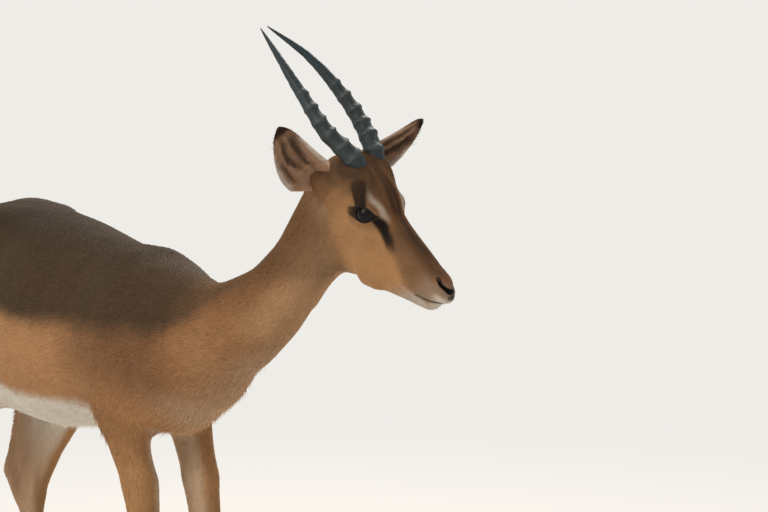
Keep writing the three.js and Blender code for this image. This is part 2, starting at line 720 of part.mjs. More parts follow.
for (const [name, side] of [['left', 1], ['right', -1]]) {
  addMesh(`eye_${name}`, eyeGeometry(side), EYE, headGroup);
  addMesh(`horn_${name}`, hornGeometry(side), HORN, headGroup);
  const ear = solid(earGeometry(side).applyMatrix4(earFrame(side)).applyMatrix4(headFrame));
  const hornSpace = solid(hornGeometry(side, 2 * GAP).applyMatrix4(headFrame));
  const fitted = ear.subtract(grownHead).subtract(hornSpace);
  addMesh(`ear_${name}`, geometryOf(fitted).applyMatrix4(toHead), FAWN, headGroup);
}

// ---------------------------------------------------------------- tail

const tailField = chain([
  [vec(-588, 0, 706), 16],
  [vec(-624, 0, 678), 13],
  [vec(-636, 0, 610), TAIL_WIDTH / 2 - 5],
  [vec(-637, 0, 500), TAIL_WIDTH / 2],
  [vec(-633, 0, 424), 6],
], 0.6, vec(1, 0, 0));
const tail = await carve({
  low: vec(-670, -30, 405),
  high: vec(-560, 30, 735),
  step: vec(4, 5, 10),
  triangles: 200,
  field: tailField,
});
addMesh('tail', geometryOf(tail.subtract(await buildTrunk(CLEARANCE))), FAWN);

// ---------------------------------------------------------------- legs and hooves

/** One claw: a wall rising from a flat sole, pointed at the toe and rounded at the heel. */
function clawGeometry(outward) {
  const SIDES = 10;
  const levels = [
    { z: 0, length: 1, width: 0.9, shift: 2 },
    { z: 3, length: 1.04, width: 1, shift: 2 },
    { z: HOOF_HEIGHT * 0.5, length: 0.82, width: 0.98, shift: -3 },
    { z: HOOF_HEIGHT - GAP, length: 0.6, width: 0.84, shift: -9 },
  ];
  const stations = levels.map(({ z, length, width, shift }) => ({
    centre: vec(shift, 0, z),
    across: vec(1, 0, 0),
    up: vec(0, 1, 0),
    offsets: (angle) => {
      const c = Math.cos(angle);
      const pointed = c > 0 ? 1 - 0.45 * c * c * c : 1;
      const inner = Math.sin(angle) * outward < 0 ? 0.8 : 1;
      return [c * HOOF_LENGTH / 2 * length, Math.sin(angle) * pointed * inner * CLAW_WIDTH / 2 * width];
    },
  }));
  return tube(stations, SIDES);
}

function addHooves(prefix, foot, side) {
  for (const [name, outward] of [['outer', side], ['inner', -side]]) {
    const claw = addMesh(`${prefix}_${name}`, clawGeometry(outward), HOOF);
    claw.position.set(foot.x, foot.y + outward * (CLAW_WIDTH + CLAW_CLEFT) / 2, 0);
    claw.rotation.z = CLAW_SPLAY * outward;
  }
}

/** A length of leg between two level cuts. */
async function legPiece(name, low, high, step, triangles, upper, lower) {
  const piece = await carve({ low, high, step, triangles });
  addMesh(name, geometryOf(keep(keep(piece, upper), flip(lower))), FAWN);
}

for (const [name, side] of [['left', 1], ['right', -1]]) {
  const span = (from, to) => [Math.min(from * side, to * side), Math.max(from * side, to * side)];
  const corners = (x0, x1, y0, y1, z0, z1) => {
    const [near, far] = span(y0, y1);
    return [vec(x0, near, z0), vec(x1, far, z1)];
  };

  const [armLow, armHigh] = corners(-140, 110, 0, 120, 230, 540);
  const arm = await carve({ low: armLow, high: armHigh, step: vec(7, 6, 9), triangles: 400 });
  const cutArm = arm.intersect(legSpace(FORE_SPACE, side, -GAP / 2));
  addMesh(`foreleg_${name}`, geometryOf(keep(cutArm, flip(KNEE_CUT))), FAWN);
  await legPiece(`forecannon_${name}`, ...corners(-25, 110, 18, 78, 96, 290),
    vec(4.5, 4.5, 9), 160, KNEE_CUT, FETLOCK_CUT);
  await legPiece(`forepastern_${name}`, ...corners(-25, 120, 18, 78, 24, 140),
    vec(4.5, 4.5, 5), 190, FETLOCK_CUT, CORONET_CUT);
  addHooves(`forehoof_${name}`,
    vec(FORE_FETLOCK.x + HOOF_AHEAD + (side > 0 ? FORE_STEP : 0), FORE_FETLOCK.y * side, 0), side);

  const [hamLow, hamHigh] = corners(-650, -340, 0, 134, 390, 640);
  const ham = await carve({ low: hamLow, high: hamHigh, step: vec(10, 9, 10), triangles: 370 });
  const cutHam = ham.intersect(legSpace(HIND_SPACE, side, -GAP / 2));
  addMesh(`thigh_${name}`, geometryOf(keep(cutHam, flip(STIFLE_CUT))), FAWN);
  const [shankLow, shankHigh] = corners(-650, -350, 0, 134, 230, 600);
  const shank = await carve({ low: shankLow, high: shankHigh, step: vec(7, 6, 8), triangles: 470 });
  const cutShank = shank.intersect(legSpace(HIND_SPACE, side, -GAP / 2));
  addMesh(`shank_${name}`, geometryOf(keep(keep(cutShank, STIFLE_CUT), flip(HOCK_CUT))), FAWN);
  await legPiece(`hindcannon_${name}`, ...corners(-590, -465, 18, 92, 96, 300),
    vec(4.5, 4.5, 9), 170, HOCK_CUT, FETLOCK_CUT);
  await legPiece(`hindpastern_${name}`, ...corners(-575, -450, 18, 92, 24, 140),
    vec(4.5, 4.5, 5), 190, FETLOCK_CUT, CORONET_CUT);
  addHooves(`hindhoof_${name}`,
    vec(HIND_FETLOCK.x + HOOF_AHEAD, (HIND_FETLOCK.y + 4) * side, 0), side);
}

const box = new THREE.Box3().setFromObject(impala, true);
const middle = box.getCenter(new THREE.Vector3());
impala.position.set(-middle.x, -middle.y, -box.min.z);

export default impala;
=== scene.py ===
# %% [markdown]
# # Impala, a young ram, life size
# A still museum model: one skin over the whole animal, eyes, horns and hooves of their own, and a
# coat of small solid tufts that lie over the skin as hair lies on the living animal.

import math

import bmesh
import bpy
import numpy as np
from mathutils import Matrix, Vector
from mathutils.bvhtree import BVHTree


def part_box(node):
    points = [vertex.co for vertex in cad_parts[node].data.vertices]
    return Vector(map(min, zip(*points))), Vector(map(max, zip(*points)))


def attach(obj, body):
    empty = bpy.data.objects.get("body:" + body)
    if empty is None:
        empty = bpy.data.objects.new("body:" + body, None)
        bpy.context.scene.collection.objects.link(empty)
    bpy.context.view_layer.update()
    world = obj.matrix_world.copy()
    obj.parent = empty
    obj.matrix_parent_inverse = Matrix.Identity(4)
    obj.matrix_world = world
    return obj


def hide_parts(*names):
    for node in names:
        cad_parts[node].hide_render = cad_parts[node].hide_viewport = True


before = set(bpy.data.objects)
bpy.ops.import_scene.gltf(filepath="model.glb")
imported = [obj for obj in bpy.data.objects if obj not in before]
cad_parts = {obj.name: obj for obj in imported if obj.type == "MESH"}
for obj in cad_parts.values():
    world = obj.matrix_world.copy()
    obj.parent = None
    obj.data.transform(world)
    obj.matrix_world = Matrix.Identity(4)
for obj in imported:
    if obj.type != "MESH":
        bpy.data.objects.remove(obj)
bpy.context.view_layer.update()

# %% [markdown]
# Everything is measured in millimetres from two places on the animal. The body is measured from a
# point on the ground near the right forefoot, x forward and y to its left. The head is measured
# from the point between the eyes, x along the nose, y left and z up out of the forehead. Both are
# found from the eyes of the frame, so the looks stay on the CAD body if that moves.

# %% Body and head coordinates
MM = 0.001
SIDES = {"left": 1, "right": -1}
HEAD_YAW, HEAD_PITCH, HEAD_ROLL = (math.radians(a) for a in (28, 39.4, 6.5))
EYES_FROM_FOOT = (386, 122, 840)


def centre_of(node):
    """Middle of a CAD node, in metres."""
    low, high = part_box(node)
    return (np.array(low) + np.array(high)) / 2


def turn(axis, angle):
    """Rotation matrix about x, y or z."""
    c, s = math.cos(angle), math.sin(angle)
    i, j = [(1, 2), (2, 0), (0, 1)][axis]
    matrix = np.eye(3)
    matrix[[i, j], [i, j]] = c
    matrix[i, j], matrix[j, i] = -s, s
    return matrix


HEAD = turn(2, HEAD_YAW) @ turn(1, HEAD_PITCH) @ turn(0, HEAD_ROLL)
eyes = (centre_of("eye_left") + centre_of("eye_right")) / 2
foot = eyes - np.array(EYES_FROM_FOOT) * MM


def to_head(points):
    """Body millimetres to head millimetres."""
    return (points - EYES_FROM_FOOT) @ HEAD


def from_head(points):
    """Head millimetres to body millimetres."""
    return np.asarray(points, float) @ HEAD.T + EYES_FROM_FOOT


across = centre_of("eye_left") - centre_of("eye_right")
EYE_SPREAD = float(np.linalg.norm(across)) / 2 / MM
EYE_RADIUS = float(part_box("eye_left")[1].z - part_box("eye_left")[0].z) / 2 / MM
print("eye centres", round(EYE_SPREAD, 1), "mm from the middle, radius", round(EYE_RADIUS, 2))
print("line through the eyes is off the head's own by",
      round(math.degrees(math.acos(min(across @ HEAD[:, 1] / np.linalg.norm(across), 1))), 2), "degrees")

# %% [markdown]
# The camera stands well back with a long lens, as one does with a shy animal, and looks at the
# chest and neck from the front right.

# %% Camera
CAMERA_AZIMUTH, CAMERA_ELEVATION = 58, 9             # degrees
CAMERA_DISTANCE = 9.088                              # metres
LOOK_AT = np.array([356.2, 147.1, 766.3])            # body mm
LENS, SENSOR_WIDTH = 300, 36                         # mm


def to_object(name, data):
    """Object in the scene, at the origin, for a mesh, curve, camera or lamp."""
    piece = bpy.data.objects.new(name, data)
    bpy.context.scene.collection.objects.link(piece)
    return piece


def aimed(name, data, target, azimuth, elevation, distance):
    """A camera or lamp that far from a place in body mm, and facing it.

    Azimuth 0 is the animal's right side and 90 is its front.
    """
    a, e = math.radians(azimuth), math.radians(elevation)
    way = Vector((math.sin(a) * math.cos(e), -math.cos(a) * math.cos(e), math.sin(e)))
    thing = to_object(name, data)
    thing.location = Vector(foot + target * MM) + way * distance
    thing.rotation_euler = (-way).to_track_quat("-Z", "Y").to_euler()
    return thing


lens = bpy.data.cameras.new("camera")
lens.lens, lens.sensor_width = LENS, SENSOR_WIDTH
lens.clip_start, lens.clip_end = 0.1, 400
bpy.context.scene.camera = aimed("camera", lens, LOOK_AT, CAMERA_AZIMUTH, CAMERA_ELEVATION,
                                 CAMERA_DISTANCE)

# %% [markdown]
# Light is that of a bright, hazy day: a pale sky all round, one large soft lamp high behind the
# animal's left shoulder that edges its back and throat, and a weaker one from the camera's side.
# The floor is one pale sheet, large enough to fill the view.

# %% Light and floor
SKY = (0.86, 0.84, 0.80)                 # what the camera sees
SKY_LIGHT, SKY_STRENGTH = (0.98, 0.99, 1.0), 0.52
CHEST = np.array([-50, 0, 600])          # body mm, where the lamps are aimed


def make_world():
    world = bpy.data.worlds.new("pale sky")
    world.use_nodes = True
    tree = world.node_tree
    tree.nodes.clear()
    path = tree.nodes.new("ShaderNodeLightPath")
    seen = tree.nodes.new("ShaderNodeBackground")
    seen.inputs["Color"].default_value = (*SKY, 1)
    lit = tree.nodes.new("ShaderNodeBackground")
    lit.inputs["Color"].default_value = (*SKY_LIGHT, 1)
    lit.inputs["Strength"].default_value = SKY_STRENGTH
    mix = tree.nodes.new("ShaderNodeMixShader")
    out = tree.nodes.new("ShaderNodeOutputWorld")
    tree.links.new(path.outputs["Is Camera Ray"], mix.inputs[0])
    tree.links.new(lit.outputs[0], mix.inputs[1])
    tree.links.new(seen.outputs[0], mix.inputs[2])
    tree.links.new(mix.outputs[0], out.inputs[0])
    bpy.context.scene.world = world


def add_lamp(name, azimuth, elevation, distance, size, watts, colour):
    """Square lamp aimed at the chest."""
    lamp = bpy.data.lights.new(name, "AREA")
    lamp.size, lamp.energy, lamp.color = size, watts, colour
    aimed(name, lamp, CHEST, azimuth, elevation, distance)


make_world()
add_lamp("sun behind", 222, 42, 6.5, 3.0, 300, (1.0, 0.94, 0.85))
add_lamp("soft front", 15, 34, 6.0, 3.5, 150, (1.0, 0.97, 0.93))
bpy.context.scene.view_settings.view_transform = "Standard"


# %% [markdown]
# Meshes are made from arrays of points, in millimetres of the body, and turned to metres once.

# %% Mesh helpers
def to_mesh(name, points, faces, smooth=True):
    """New mesh from body millimetres. faces is an array of equal rows, or a list of rows."""
    mesh = bpy.data.meshes.new(name)
    mesh.from_pydata((np.asarray(points) * MM + foot).tolist(), [], [list(map(int, f)) for f in faces])
    mesh.polygons.foreach_set("use_smooth", [smooth] * len(mesh.polygons))
    mesh.update()
    return mesh


def points_of(mesh):
    """A mesh's vertices in body millimetres."""
    flat = np.empty(len(mesh.vertices) * 3)
    mesh.vertices.foreach_get("co", flat)
    return (flat.reshape(-1, 3) - foot) / MM


def set_points(mesh, points):
    mesh.vertices.foreach_set("co", (points * MM + foot).ravel())
    mesh.update()


def normals_of(mesh):
    flat = np.empty(len(mesh.vertices) * 3)
    mesh.vertex_normals.foreach_get("vector", flat)
    return flat.reshape(-1, 3)


def edges_of(mesh):
    flat = np.empty(len(mesh.edges) * 2, int)
    mesh.edges.foreach_get("vertices", flat)
    return flat.reshape(-1, 2)


def unit(v):
    return v / np.maximum(np.linalg.norm(v, axis=-1, keepdims=True), 1e-9)


def ramp(low, high, x):
    """0 at low, 1 at high and a soft rise between; low may be the larger of the two."""
    t = np.clip((x - low) / (high - low), 0, 1)
    return t * t * (3 - 2 * t)


# %% Floor
FLOOR_HALF = 60.0                       # metres
floor = to_object("floor", to_mesh(
    "floor", [(sx * FLOOR_HALF / MM, sy * FLOOR_HALF / MM, 0)
              for sx, sy in ((-1, -1), (1, -1), (1, 1), (-1, 1))], [(0, 1, 2, 3)], smooth=False))

# %% [markdown]
# Hair lies along the bones: back along the trunk, down the legs, from the nose over the cheeks. A
# few lines through the body, each drawn the way its hair lies and with the body's radius at each
# knot, tell any point which part it belongs to, which way its hair runs and how far round and
# along the part it is. The same lines later unwrap the coat.

# %% Lines through the body
FORE_STEP = 36                         # the left forefoot stands this far ahead


def body_lines():
    """Name: array of knots (x, y, z, radius) in body millimetres."""
    lines = {
        "trunk": [(205, 10, 640, 66), (130, 4, 618, 82), (54, 0, 604, 96), (-60, 0, 600, 112),
                  (-250, 0, 596, 126), (-420, 0, 600, 120), (-545, 0, 628, 82)],
        "neck": [(322, 100, 858, 46), (302, 79, 790, 52), (285, 63, 755, 49), (266, 45, 724, 49),
                 (244, 29, 692, 55), (203, 14, 660, 65), (150, 5, 628, 74)],
        "tail": [(-596, 0, 704, 15), (-628, 0, 668, 13), (-636, 0, 610, 14), (-637, 0, 500, 18),
                 (-633, 0, 424, 8)],
    }
    skull = [(168, 0, -20, 16), (130, 0, -28, 27), (60, 0, -38, 40), (0, 0, -38, 46), (-60, 0, -20, 42)]
    places = from_head([knot[:3] for knot in skull])
    lines["head"] = [(*place, knot[3]) for place, knot in zip(places, skull)]
    for name, side in SIDES.items():
        step = FORE_STEP if side > 0 else 0
        lines[f"foreleg_{name}"] = [
            (20 - 0.1 * step, 62 * side, 588, 46), (-42 - 0.5 * step, 62 * side, 520, 44),
            (5 - 0.2 * step, 53 * side, 400, 29), (24 + 0.2 * step, 49 * side, 290, 21),
            (20 + 0.9 * step, 47 * side, 100, 16), (50 + step, 47 * side, 38, 17)]
        lines[f"hindleg_{name}"] = [
            (-480, 52 * side, 650, 84), (-436, 80 * side, 530, 60), (-474, 78 * side, 420, 42),
            (-535, 60 * side, 292, 24), (-512, 56 * side, 100, 16), (-484, 60 * side, 38, 17)]
    return {name: np.array(knots, float) for name, knots in lines.items()}


LINES = body_lines()
PARTS = list(LINES)


def nearest_on_lines(points):
    """For each line: distance over radius, place along the line in mm, tangent and foot point."""
    found = {}
    for name, knots in LINES.items():
        best = np.full(len(points), np.inf)
        along = np.zeros(len(points))
        tangent = np.zeros((len(points), 3))
        foot_point = np.zeros((len(points), 3))
        run = 0.0
        turns = unit(np.gradient(np.array(knots)[:, :3], axis=0))
        for i, (a, b) in enumerate(zip(knots[:-1], knots[1:])):
            bone = b[:3] - a[:3]
            length = np.linalg.norm(bone)
            t = np.clip((points - a[:3]) @ bone / length**2, 0, 1)
            near = a[:3] + t[:, None] * bone
            ratio = np.linalg.norm(points - near, axis=1) / (a[3] + t * (b[3] - a[3]))
            better = ratio < best
            best[better] = ratio[better]
            along[better] = run + t[better] * length
            tangent[better] = unit(turns[i] + t[better, None] * (turns[i + 1] - turns[i]))
            foot_point[better] = near[better]
            run += length
        found[name] = (best, along, tangent, foot_point)
    return found


def part_weights(found, sharpness=7.0):
    """How much each point belongs to each part, rows summing to one."""
    ratios = np.stack([found[name][0] for name in PARTS], 1)
    weights = np.exp(-sharpness * (ratios - ratios.min(1, keepdims=True)))
    return weights / weights.sum(1, keepdims=True)


def lie_of(points, normals, found, weights):
    """Unit direction in which the hair lies at each point, along the surface."""
    way = sum(weights[:, i, None] * found[name][2] for i, name in enumerate(PARTS))
    trunk = weights[:, PARTS.index("trunk")]
    way[:, 2] -= 0.45 * trunk * ramp(30, 100, np.abs(points[:, 1]))
    way -= (way * normals).sum(1, keepdims=True) * normals
    return unit(way)


print(len(LINES), "lines through the body")

# %% [markdown]
# The skin is one closed mesh. Copies of the CAD solids of flesh are swollen a little, so that the
# thin gaps between them close, and a voxel remesh melts them into one surface. Small balls fill the
# sockets of the eyes and the horns. The head is remeshed with the rest and divided finer
# afterwards, because lids and nostrils need small faces and the flanks don't.

# %% One surface from the solids of flesh
VOXEL = 4.6                             # mm
CLOSE_GAPS = 0.25                       # swelling of each solid, mm
SOCKET_FILL, HORN_FILL = 2.2, 17.6      # ball below the eyeball's surface, and its radius at a horn
FLESH = sorted(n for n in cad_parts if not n.startswith(("eye_", "horn_", "ear_"))
               and "hoof" not in n)
HORN_LINE = [(-42, 22, 8), (-58, 23, 38), (-118, 42, 53), (-176, 40, 65), (-232, 31, 73),
             (-301, 8, 74)]            # head millimetres, left horn


def copy_of(node, grow=0.0):
    """Merged copy of a CAD node as (points, faces), swollen along its normals."""
    solid = bmesh.new()
    solid.from_mesh(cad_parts[node].data)
    bmesh.ops.remove_doubles(solid, verts=solid.verts, dist=1e-6)
    solid.normal_update()
    points = np.array([v.co + v.normal * grow * MM for v in solid.verts])
    solid.verts.index_update()
    faces = [[v.index for v in f.verts] for f in solid.faces]
    solid.free()
    return (points - foot) / MM, faces


def ball(centre, radius):
    """Icosphere as (points, faces), used to fill a socket."""
    sphere = bmesh.new()
    bmesh.ops.create_icosphere(sphere, subdivisions=3, radius=radius)
    sphere.verts.index_update()
    points = np.array([v.co for v in sphere.verts]) + centre
    faces = [[v.index for v in f.verts] for f in sphere.faces]
    sphere.free()
    return points, faces


def joined(parts):
    points, faces, start = [], [], 0
    for p, f in parts:
        points.append(p)
        faces += [[i + start for i in face] for face in f]
        start += len(p)
    return np.concatenate(points), faces


def plain_mesh(piece):
    """What a piece's modifiers make of it, as a mesh of its own; the piece goes."""
    graph = bpy.context.evaluated_depsgraph_get()
    mesh = bpy.data.meshes.new_from_object(piece.evaluated_get(graph), depsgraph=graph)
    bpy.data.objects.remove(piece)
    return mesh


def remeshed(name, points, faces, voxel):
    """One surface round everything, of faces about one voxel wide."""
    piece = to_object(name, to_mesh(name, points, faces))
    melt = piece.modifiers.new("melt", "REMESH")
    melt.mode, melt.voxel_size = "VOXEL", voxel * MM
    return plain_mesh(piece)


solids = []
for node in FLESH:
    points, faces = copy_of(node, CLOSE_GAPS)
    if node == "tail":
        points[:, 0] += 5 * ramp(660, 700, points[:, 2])
    solids.append((points, faces))
for side in SIDES.values():
    solids.append(ball(from_head([0, EYE_SPREAD * side, 0]), EYE_RADIUS - SOCKET_FILL))
    for share in (0.0, 0.35, 0.7):
        start, end = (np.array(HORN_LINE[i]) * (1, side, 1) for i in (0, 1))
        solids.append(ball(from_head(start + (end - start) * share), HORN_FILL - 1.2 * share))
skin_mesh = remeshed("skin", *joined(solids), VOXEL)
print("skin:", len(skin_mesh.vertices), "points after the remesh")

# %% [markdown]
# The CAD facets are ironed out by moving each point towards the mean of its neighbours. Broad
# forms can take many strong turns and thin ones only weak turns, or a cannon bone would waste away,
# so each part has its own softness: the reach of the smoothing in millimetres.

# %% Smoothing
SOFTNESS = {"trunk": 15.0, "neck": 12.0, "tail": 6.0, "head": 4.0}
LEG_SOFTNESS = [(0, 12.0), (190, 8.0), (300, 5.0), (560, 4.0)]   # along the leg, mm
TURNS = 60


def smooth(points, edges, share, turns):
    """Moves each point its share of the way to the mean of its neighbours, that many times."""
    a, b = edges.T
    count = len(points)
    degree = np.bincount(a, minlength=count) + np.bincount(b, minlength=count)
    for _ in range(turns):
        total = np.stack([np.bincount(a, points[b, k], count) + np.bincount(b, points[a, k], count)
                          for k in range(3)], 1)
        points = points + share[:, None] * (total / degree[:, None] - points)
    return points


def by_part(values, along_legs, found, weights):
    """A value at each point: one for each part, and on the legs one that changes along them."""
    total = np.zeros(len(weights))
    for i, name in enumerate(PARTS):
        value = values.get(name)
        if value is None:
            value = np.interp(found[name][1], *zip(*along_legs))
        total += weights[:, i] * value
    return total


points = points_of(skin_mesh)
edges = edges_of(skin_mesh)
found = nearest_on_lines(points)
soft = by_part(SOFTNESS, LEG_SOFTNESS, found, part_weights(found))
share = np.minimum(2 * soft**2 / (TURNS * VOXEL**2), 0.6)
ironed = smooth(points, edges, share, TURNS)
set_points(skin_mesh, ironed)
print("smoothed; mean move", round(float(np.linalg.norm(ironed - points, axis=1).mean()), 2), "mm")

# %% [markdown]
# Where the face needs it, faces are divided in four: once over the whole head, again round the
# eyes, nose and mouth, and once more at the lids and nostrils. After the first division the points
# are laid back on the CAD head, which still has the detail that the voxels blurred.

# %% Finer faces on the head
NOSTRIL = [(136, 14.5, -3), (146, 14.5, -7), (156, 9, -9), (165, 6.5, -10)]   # head mm, left side
# Line along the floor inside the nostril, where the black of the face's colours is painted shade.
NOSTRIL_FLOOR = [(141, 7, -9), (151, 3.5, -11), (158, 2.5, -12)]
MOUTH = [(172, 0, -30.5), (161, 0, -32), (150, 0, -37.5), (137, 0, -43),
         (120, 0, -47.5)]              # seen from the side


def to_line(points, line):
    """Distance of each point to a polyline, and how far along it the nearest place is, 0 to 1."""
    line = np.asarray(line, float)
    lengths = np.linalg.norm(np.diff(line, axis=0), axis=1)
    best = np.full(len(points), np.inf)
    place = np.zeros(len(points))
    run = 0.0
    for a, b, length in zip(line[:-1], line[1:], lengths):
        t = np.clip((points - a) @ (b - a) / length**2, 0, 1)
        distance = np.linalg.norm(points - a - t[:, None] * (b - a), axis=1)
        better = distance < best
        best[better] = distance[better]
        place[better] = (run + t[better] * length) / lengths.sum()
        run += length
    return best, place


def both_sides(head_points):
    """The same places folded to the left half of the head."""
    folded = head_points.copy()
    folded[:, 1] = np.abs(folded[:, 1])
    return folded


def divided(mesh, chosen):
    """Splits every face whose points are all chosen into four."""
    work = bmesh.new()
    work.from_mesh(mesh)
    work.verts.ensure_lookup_table()
    faces = [f for f in work.faces if all(chosen[v.index] for v in f.verts)]
    edges = list({e for f in faces for e in f.edges})
    bmesh.ops.subdivide_edges(work, edges=edges, cuts=1, use_grid_fill=True)
    work.to_mesh(mesh)
    work.free()
    mesh.update()


def eye_distance(folded):
    return np.linalg.norm(folded - (0, EYE_SPREAD, 0), axis=1)


def lay_on_head(mesh):
    """Moves the face's points back on to the CAD head, clear of its sockets, and irons them."""
    head_points, head_faces = copy_of("head")
    target = BVHTree.FromPolygons(head_points.tolist(), head_faces)
    points = points_of(mesh)
    folded = both_sides(to_head(points))
    horn = to_line(folded, [HORN_LINE[0], HORN_LINE[1]])[0]
    pull = (ramp(-92, -70, folded[:, 0]) * ramp(19, 24, horn)
            * ramp(EYE_RADIUS + 3, EYE_RADIUS + 8, eye_distance(folded)))
    for i in np.nonzero(pull > 0.01)[0]:
        place, _, _, gap = target.find_nearest(points[i].tolist())
        if gap < 8:
            points[i] += pull[i] * (np.array(place) - points[i])
    share = 0.5 * ramp(-100, -80, folded[:, 0])
    return smooth(points, edges_of(mesh), share, 9)


folded = both_sides(to_head(points_of(skin_mesh)))
divided(skin_mesh, (folded[:, 0] > -98) & (np.linalg.norm(folded[:, 1:], axis=1) < 125))
set_points(skin_mesh, lay_on_head(skin_mesh))
for reach in (26, 20):
    folded = both_sides(to_head(points_of(skin_mesh)))
    lips = to_line(folded, MOUTH)[0] < reach * 0.42
    nose = to_line(folded, NOSTRIL)[0] < reach * 0.55
    divided(skin_mesh, (eye_distance(folded) < reach + 3) | lips | nose)
print("skin:", len(skin_mesh.vertices), "points with the fine face")

# %% [markdown]
# Forms under the skin are pressed in or raised along short lines: muscle borders, tendons, the
# blade's spine, ribs, folds. Each line is drawn once, on the left, and used on both sides.

# %% Forms of the body
def mirrored(line, side):
    return [(x, y * side, z) for x, y, z in line]


def bell(points, line, width):
    """1 on a line, or at a single place, and fading softly over that width."""
    distance = to_line(points, line)[0] if len(line) > 1 else np.linalg.norm(points - line[0], axis=1)
    return np.exp(-(distance / width) ** 2)


def shape_along(points, normals, line, height, width):
    """Raises (height > 0) or presses in the surface along a line."""
    return points + normals * (height * bell(points, line, width))[:, None]


BODY_FORMS = [  # line in body mm, height mm, width mm
    ([(-40, 38, 680), (-4, 50, 648), (52, 64, 602)], 2.5, 13),        # spine of the shoulder blade
    ([(-112, 70, 690), (-118, 98, 620), (-108, 98, 560)], -4.0, 24),  # behind the shoulder
    ([(28, 36, 694), (72, 52, 645), (100, 62, 590)], -3.0, 17),       # before the shoulder
    ([(-50, 24, 722), (-8, 24, 718)], -4.0, 24),                      # withers
    ([(-150, 6, 726), (-96, 10, 724)], 3.0, 22),
    ([(76, 60, 584)], 5.0, 20),                                       # point of the shoulder
    ([(-44, 66, 618), (-78, 70, 556)], 3.0, 16),                      # triceps
    ([(-20, 76, 590), (-62, 72, 532)], -2.0, 9),
    ([(-342, 82, 700), (-368, 104, 650), (-380, 108, 600)], -7.0, 30),  # hollow of the flank
    ([(-424, 66, 726)], 6.0, 18),                                     # hip bone
    ([(-598, 40, 668)], 4.0, 16),                                     # sit bone
    ([(-356, 112, 560), (-400, 106, 512)], 3.0, 15),                  # fold of the flank
    ([(-553, 74, 640), (-532, 92, 540), (-508, 88, 452)], -4.0, 13),  # between thigh and hamstrings
    ([(-404, 104, 506)], 4.0, 18),                                    # stifle
    ([(-470, 100, 470), (-500, 86, 400)], 2.5, 13),                   # gaskin
    ([(-552, 80, 452), (-560, 72, 385), (-564, 66, 340)], -4.5, 8),   # hollow above the hock
    ([(-550, 52, 440), (-560, 46, 385), (-562, 42, 340)], -4.5, 8),
    ([(-538, 76, 300), (-548, 72, 285)], 2.0, 9),
    ([(-534, 70, 252), (-524, 66, 120)], -2.2, 4.5),                  # cannon and tendons
    ([(-534, 44, 252), (-524, 44, 120)], -2.2, 4.5),
    ([(30, 62, 292), (28, 62, 276)], 2.0, 9),                         # knee
    ([(4, 60, 300), (8, 60, 262)], -2.0, 6),
]
CORONET = 3.0                           # swelling of the skin over the hooves, mm
CORONET_SHIFT = (3, 0, -7)              # and its move over the hoof tops, mm
RIBS, RIB_STEP = 8, 33                  # ribs that show, and mm between them


def body_formed(points, normals):
    forms = list(BODY_FORMS)
    for k in range(RIBS):
        x = -122 - RIB_STEP * k
        forms.append(([(x, 92, 680), (x - 16, 118, 600), (x - 6, 112, 520)], 0.9, 10))
    for line, height, width in forms:
        for side in SIDES.values():
            points = shape_along(points, normals, mirrored(line, side), height, width)
    for side in SIDES.values():
        step = FORE_STEP if side > 0 else 0
        for y in (59, 35):
            line = [(11 + 0.42 * step, y, 246), (12 + 0.92 * step, y - 1, 116)]
            points = shape_along(points, normals, mirrored(line, side), -2.0, 4.5)
    near_hoof = ramp(68, 52, points[:, 2])[:, None]
    return points + near_hoof * (normals * (CORONET, CORONET, 0) + CORONET_SHIFT)


# %% [markdown]
# The face takes the same tool at a smaller scale, then the nostrils and the mouth, which are
# narrow and deep, and the lids. A lid is skin stretched over the eyeball: points outside the
# opening are kept a little over a millimetre clear of the ball and points inside it are sunk behind the ball.

# %% Forms of the face
FACE_FORMS = [  # line in head mm on the left, height mm, width mm
    ([(-24, 37, 17), (14, 35, 16)], 1.4, 7),                          # brow
    ([(-40, 34, 2)], -3.5, 10),                                       # temple
    ([(10, 42, -17), (-18, 44, -22), (-44, 43, -28)], 1.8, 9),        # cheek bone
    ([(22, 36, -16), (52, 29, -22), (84, 23, -28)], 1.2, 9),          # facial crest
    ([(48, 30, -38), (84, 24, -42)], -2.0, 10),                       # hollow of the cheek
    ([(0, 38, -58)], 2.2, 19),                                        # jaw muscle
    ([(38, 30, -46), (36, 27, -72), (18, 24, -92)], -1.8, 5),         # its front edge
    ([(30, 15, 20), (70, 12, 12), (112, 10, 5)], 1.1, 5),             # edge of the nasal bones
    ([(-26, 0, 42), (10, 0, 30), (44, 0, 16)], -2.2, 8),              # furrow of the forehead
    ([(56, 0, 14), (120, 0, 5)], -0.6, 4),
    ([(126, 12, 3), (141, 18, 0.5), (152, 17.5, -3)], 1.5, 3.4),      # wing of the nostril
    ([(140, 21, -12), (154, 18, -14)], 1.0, 3),
    ([(127, 23, -36), (146, 20, -31), (162, 11, -26)], 1.1, 4.0),     # upper lip
    ([(120, 22, -54), (140, 17, -48), (156, 8, -42)], 0.9, 4.0),      # lower lip
    ([(122, 25, -44), (114, 26, -53)], -1.2, 2.6),                    # corner of the mouth
    ([(171, 0, -12), (169, 0, -22), (166, 0, -31)], -1.6, 1.5),       # cleft of the upper lip
    ([(-34, 30, -96), (10, 22, -100), (48, 16, -92)], -1.6, 6),       # under the jaw
]
NOSTRIL_DEPTH, NOSTRIL_WIDTH = 9.0, 3.6
MOUTH_DEPTH, MOUTH_WIDTH = 2.6, 1.5


def horn_seat(folded):
    """Height over the plane where a horn leaves the skin, and distance from the horn's axis."""
    base = np.array(HORN_LINE[1])
    axis = unit(base - HORN_LINE[0])
    height = (folded - base) @ axis
    return height, np.linalg.norm(folded - base - height[:, None] * axis, axis=1), axis


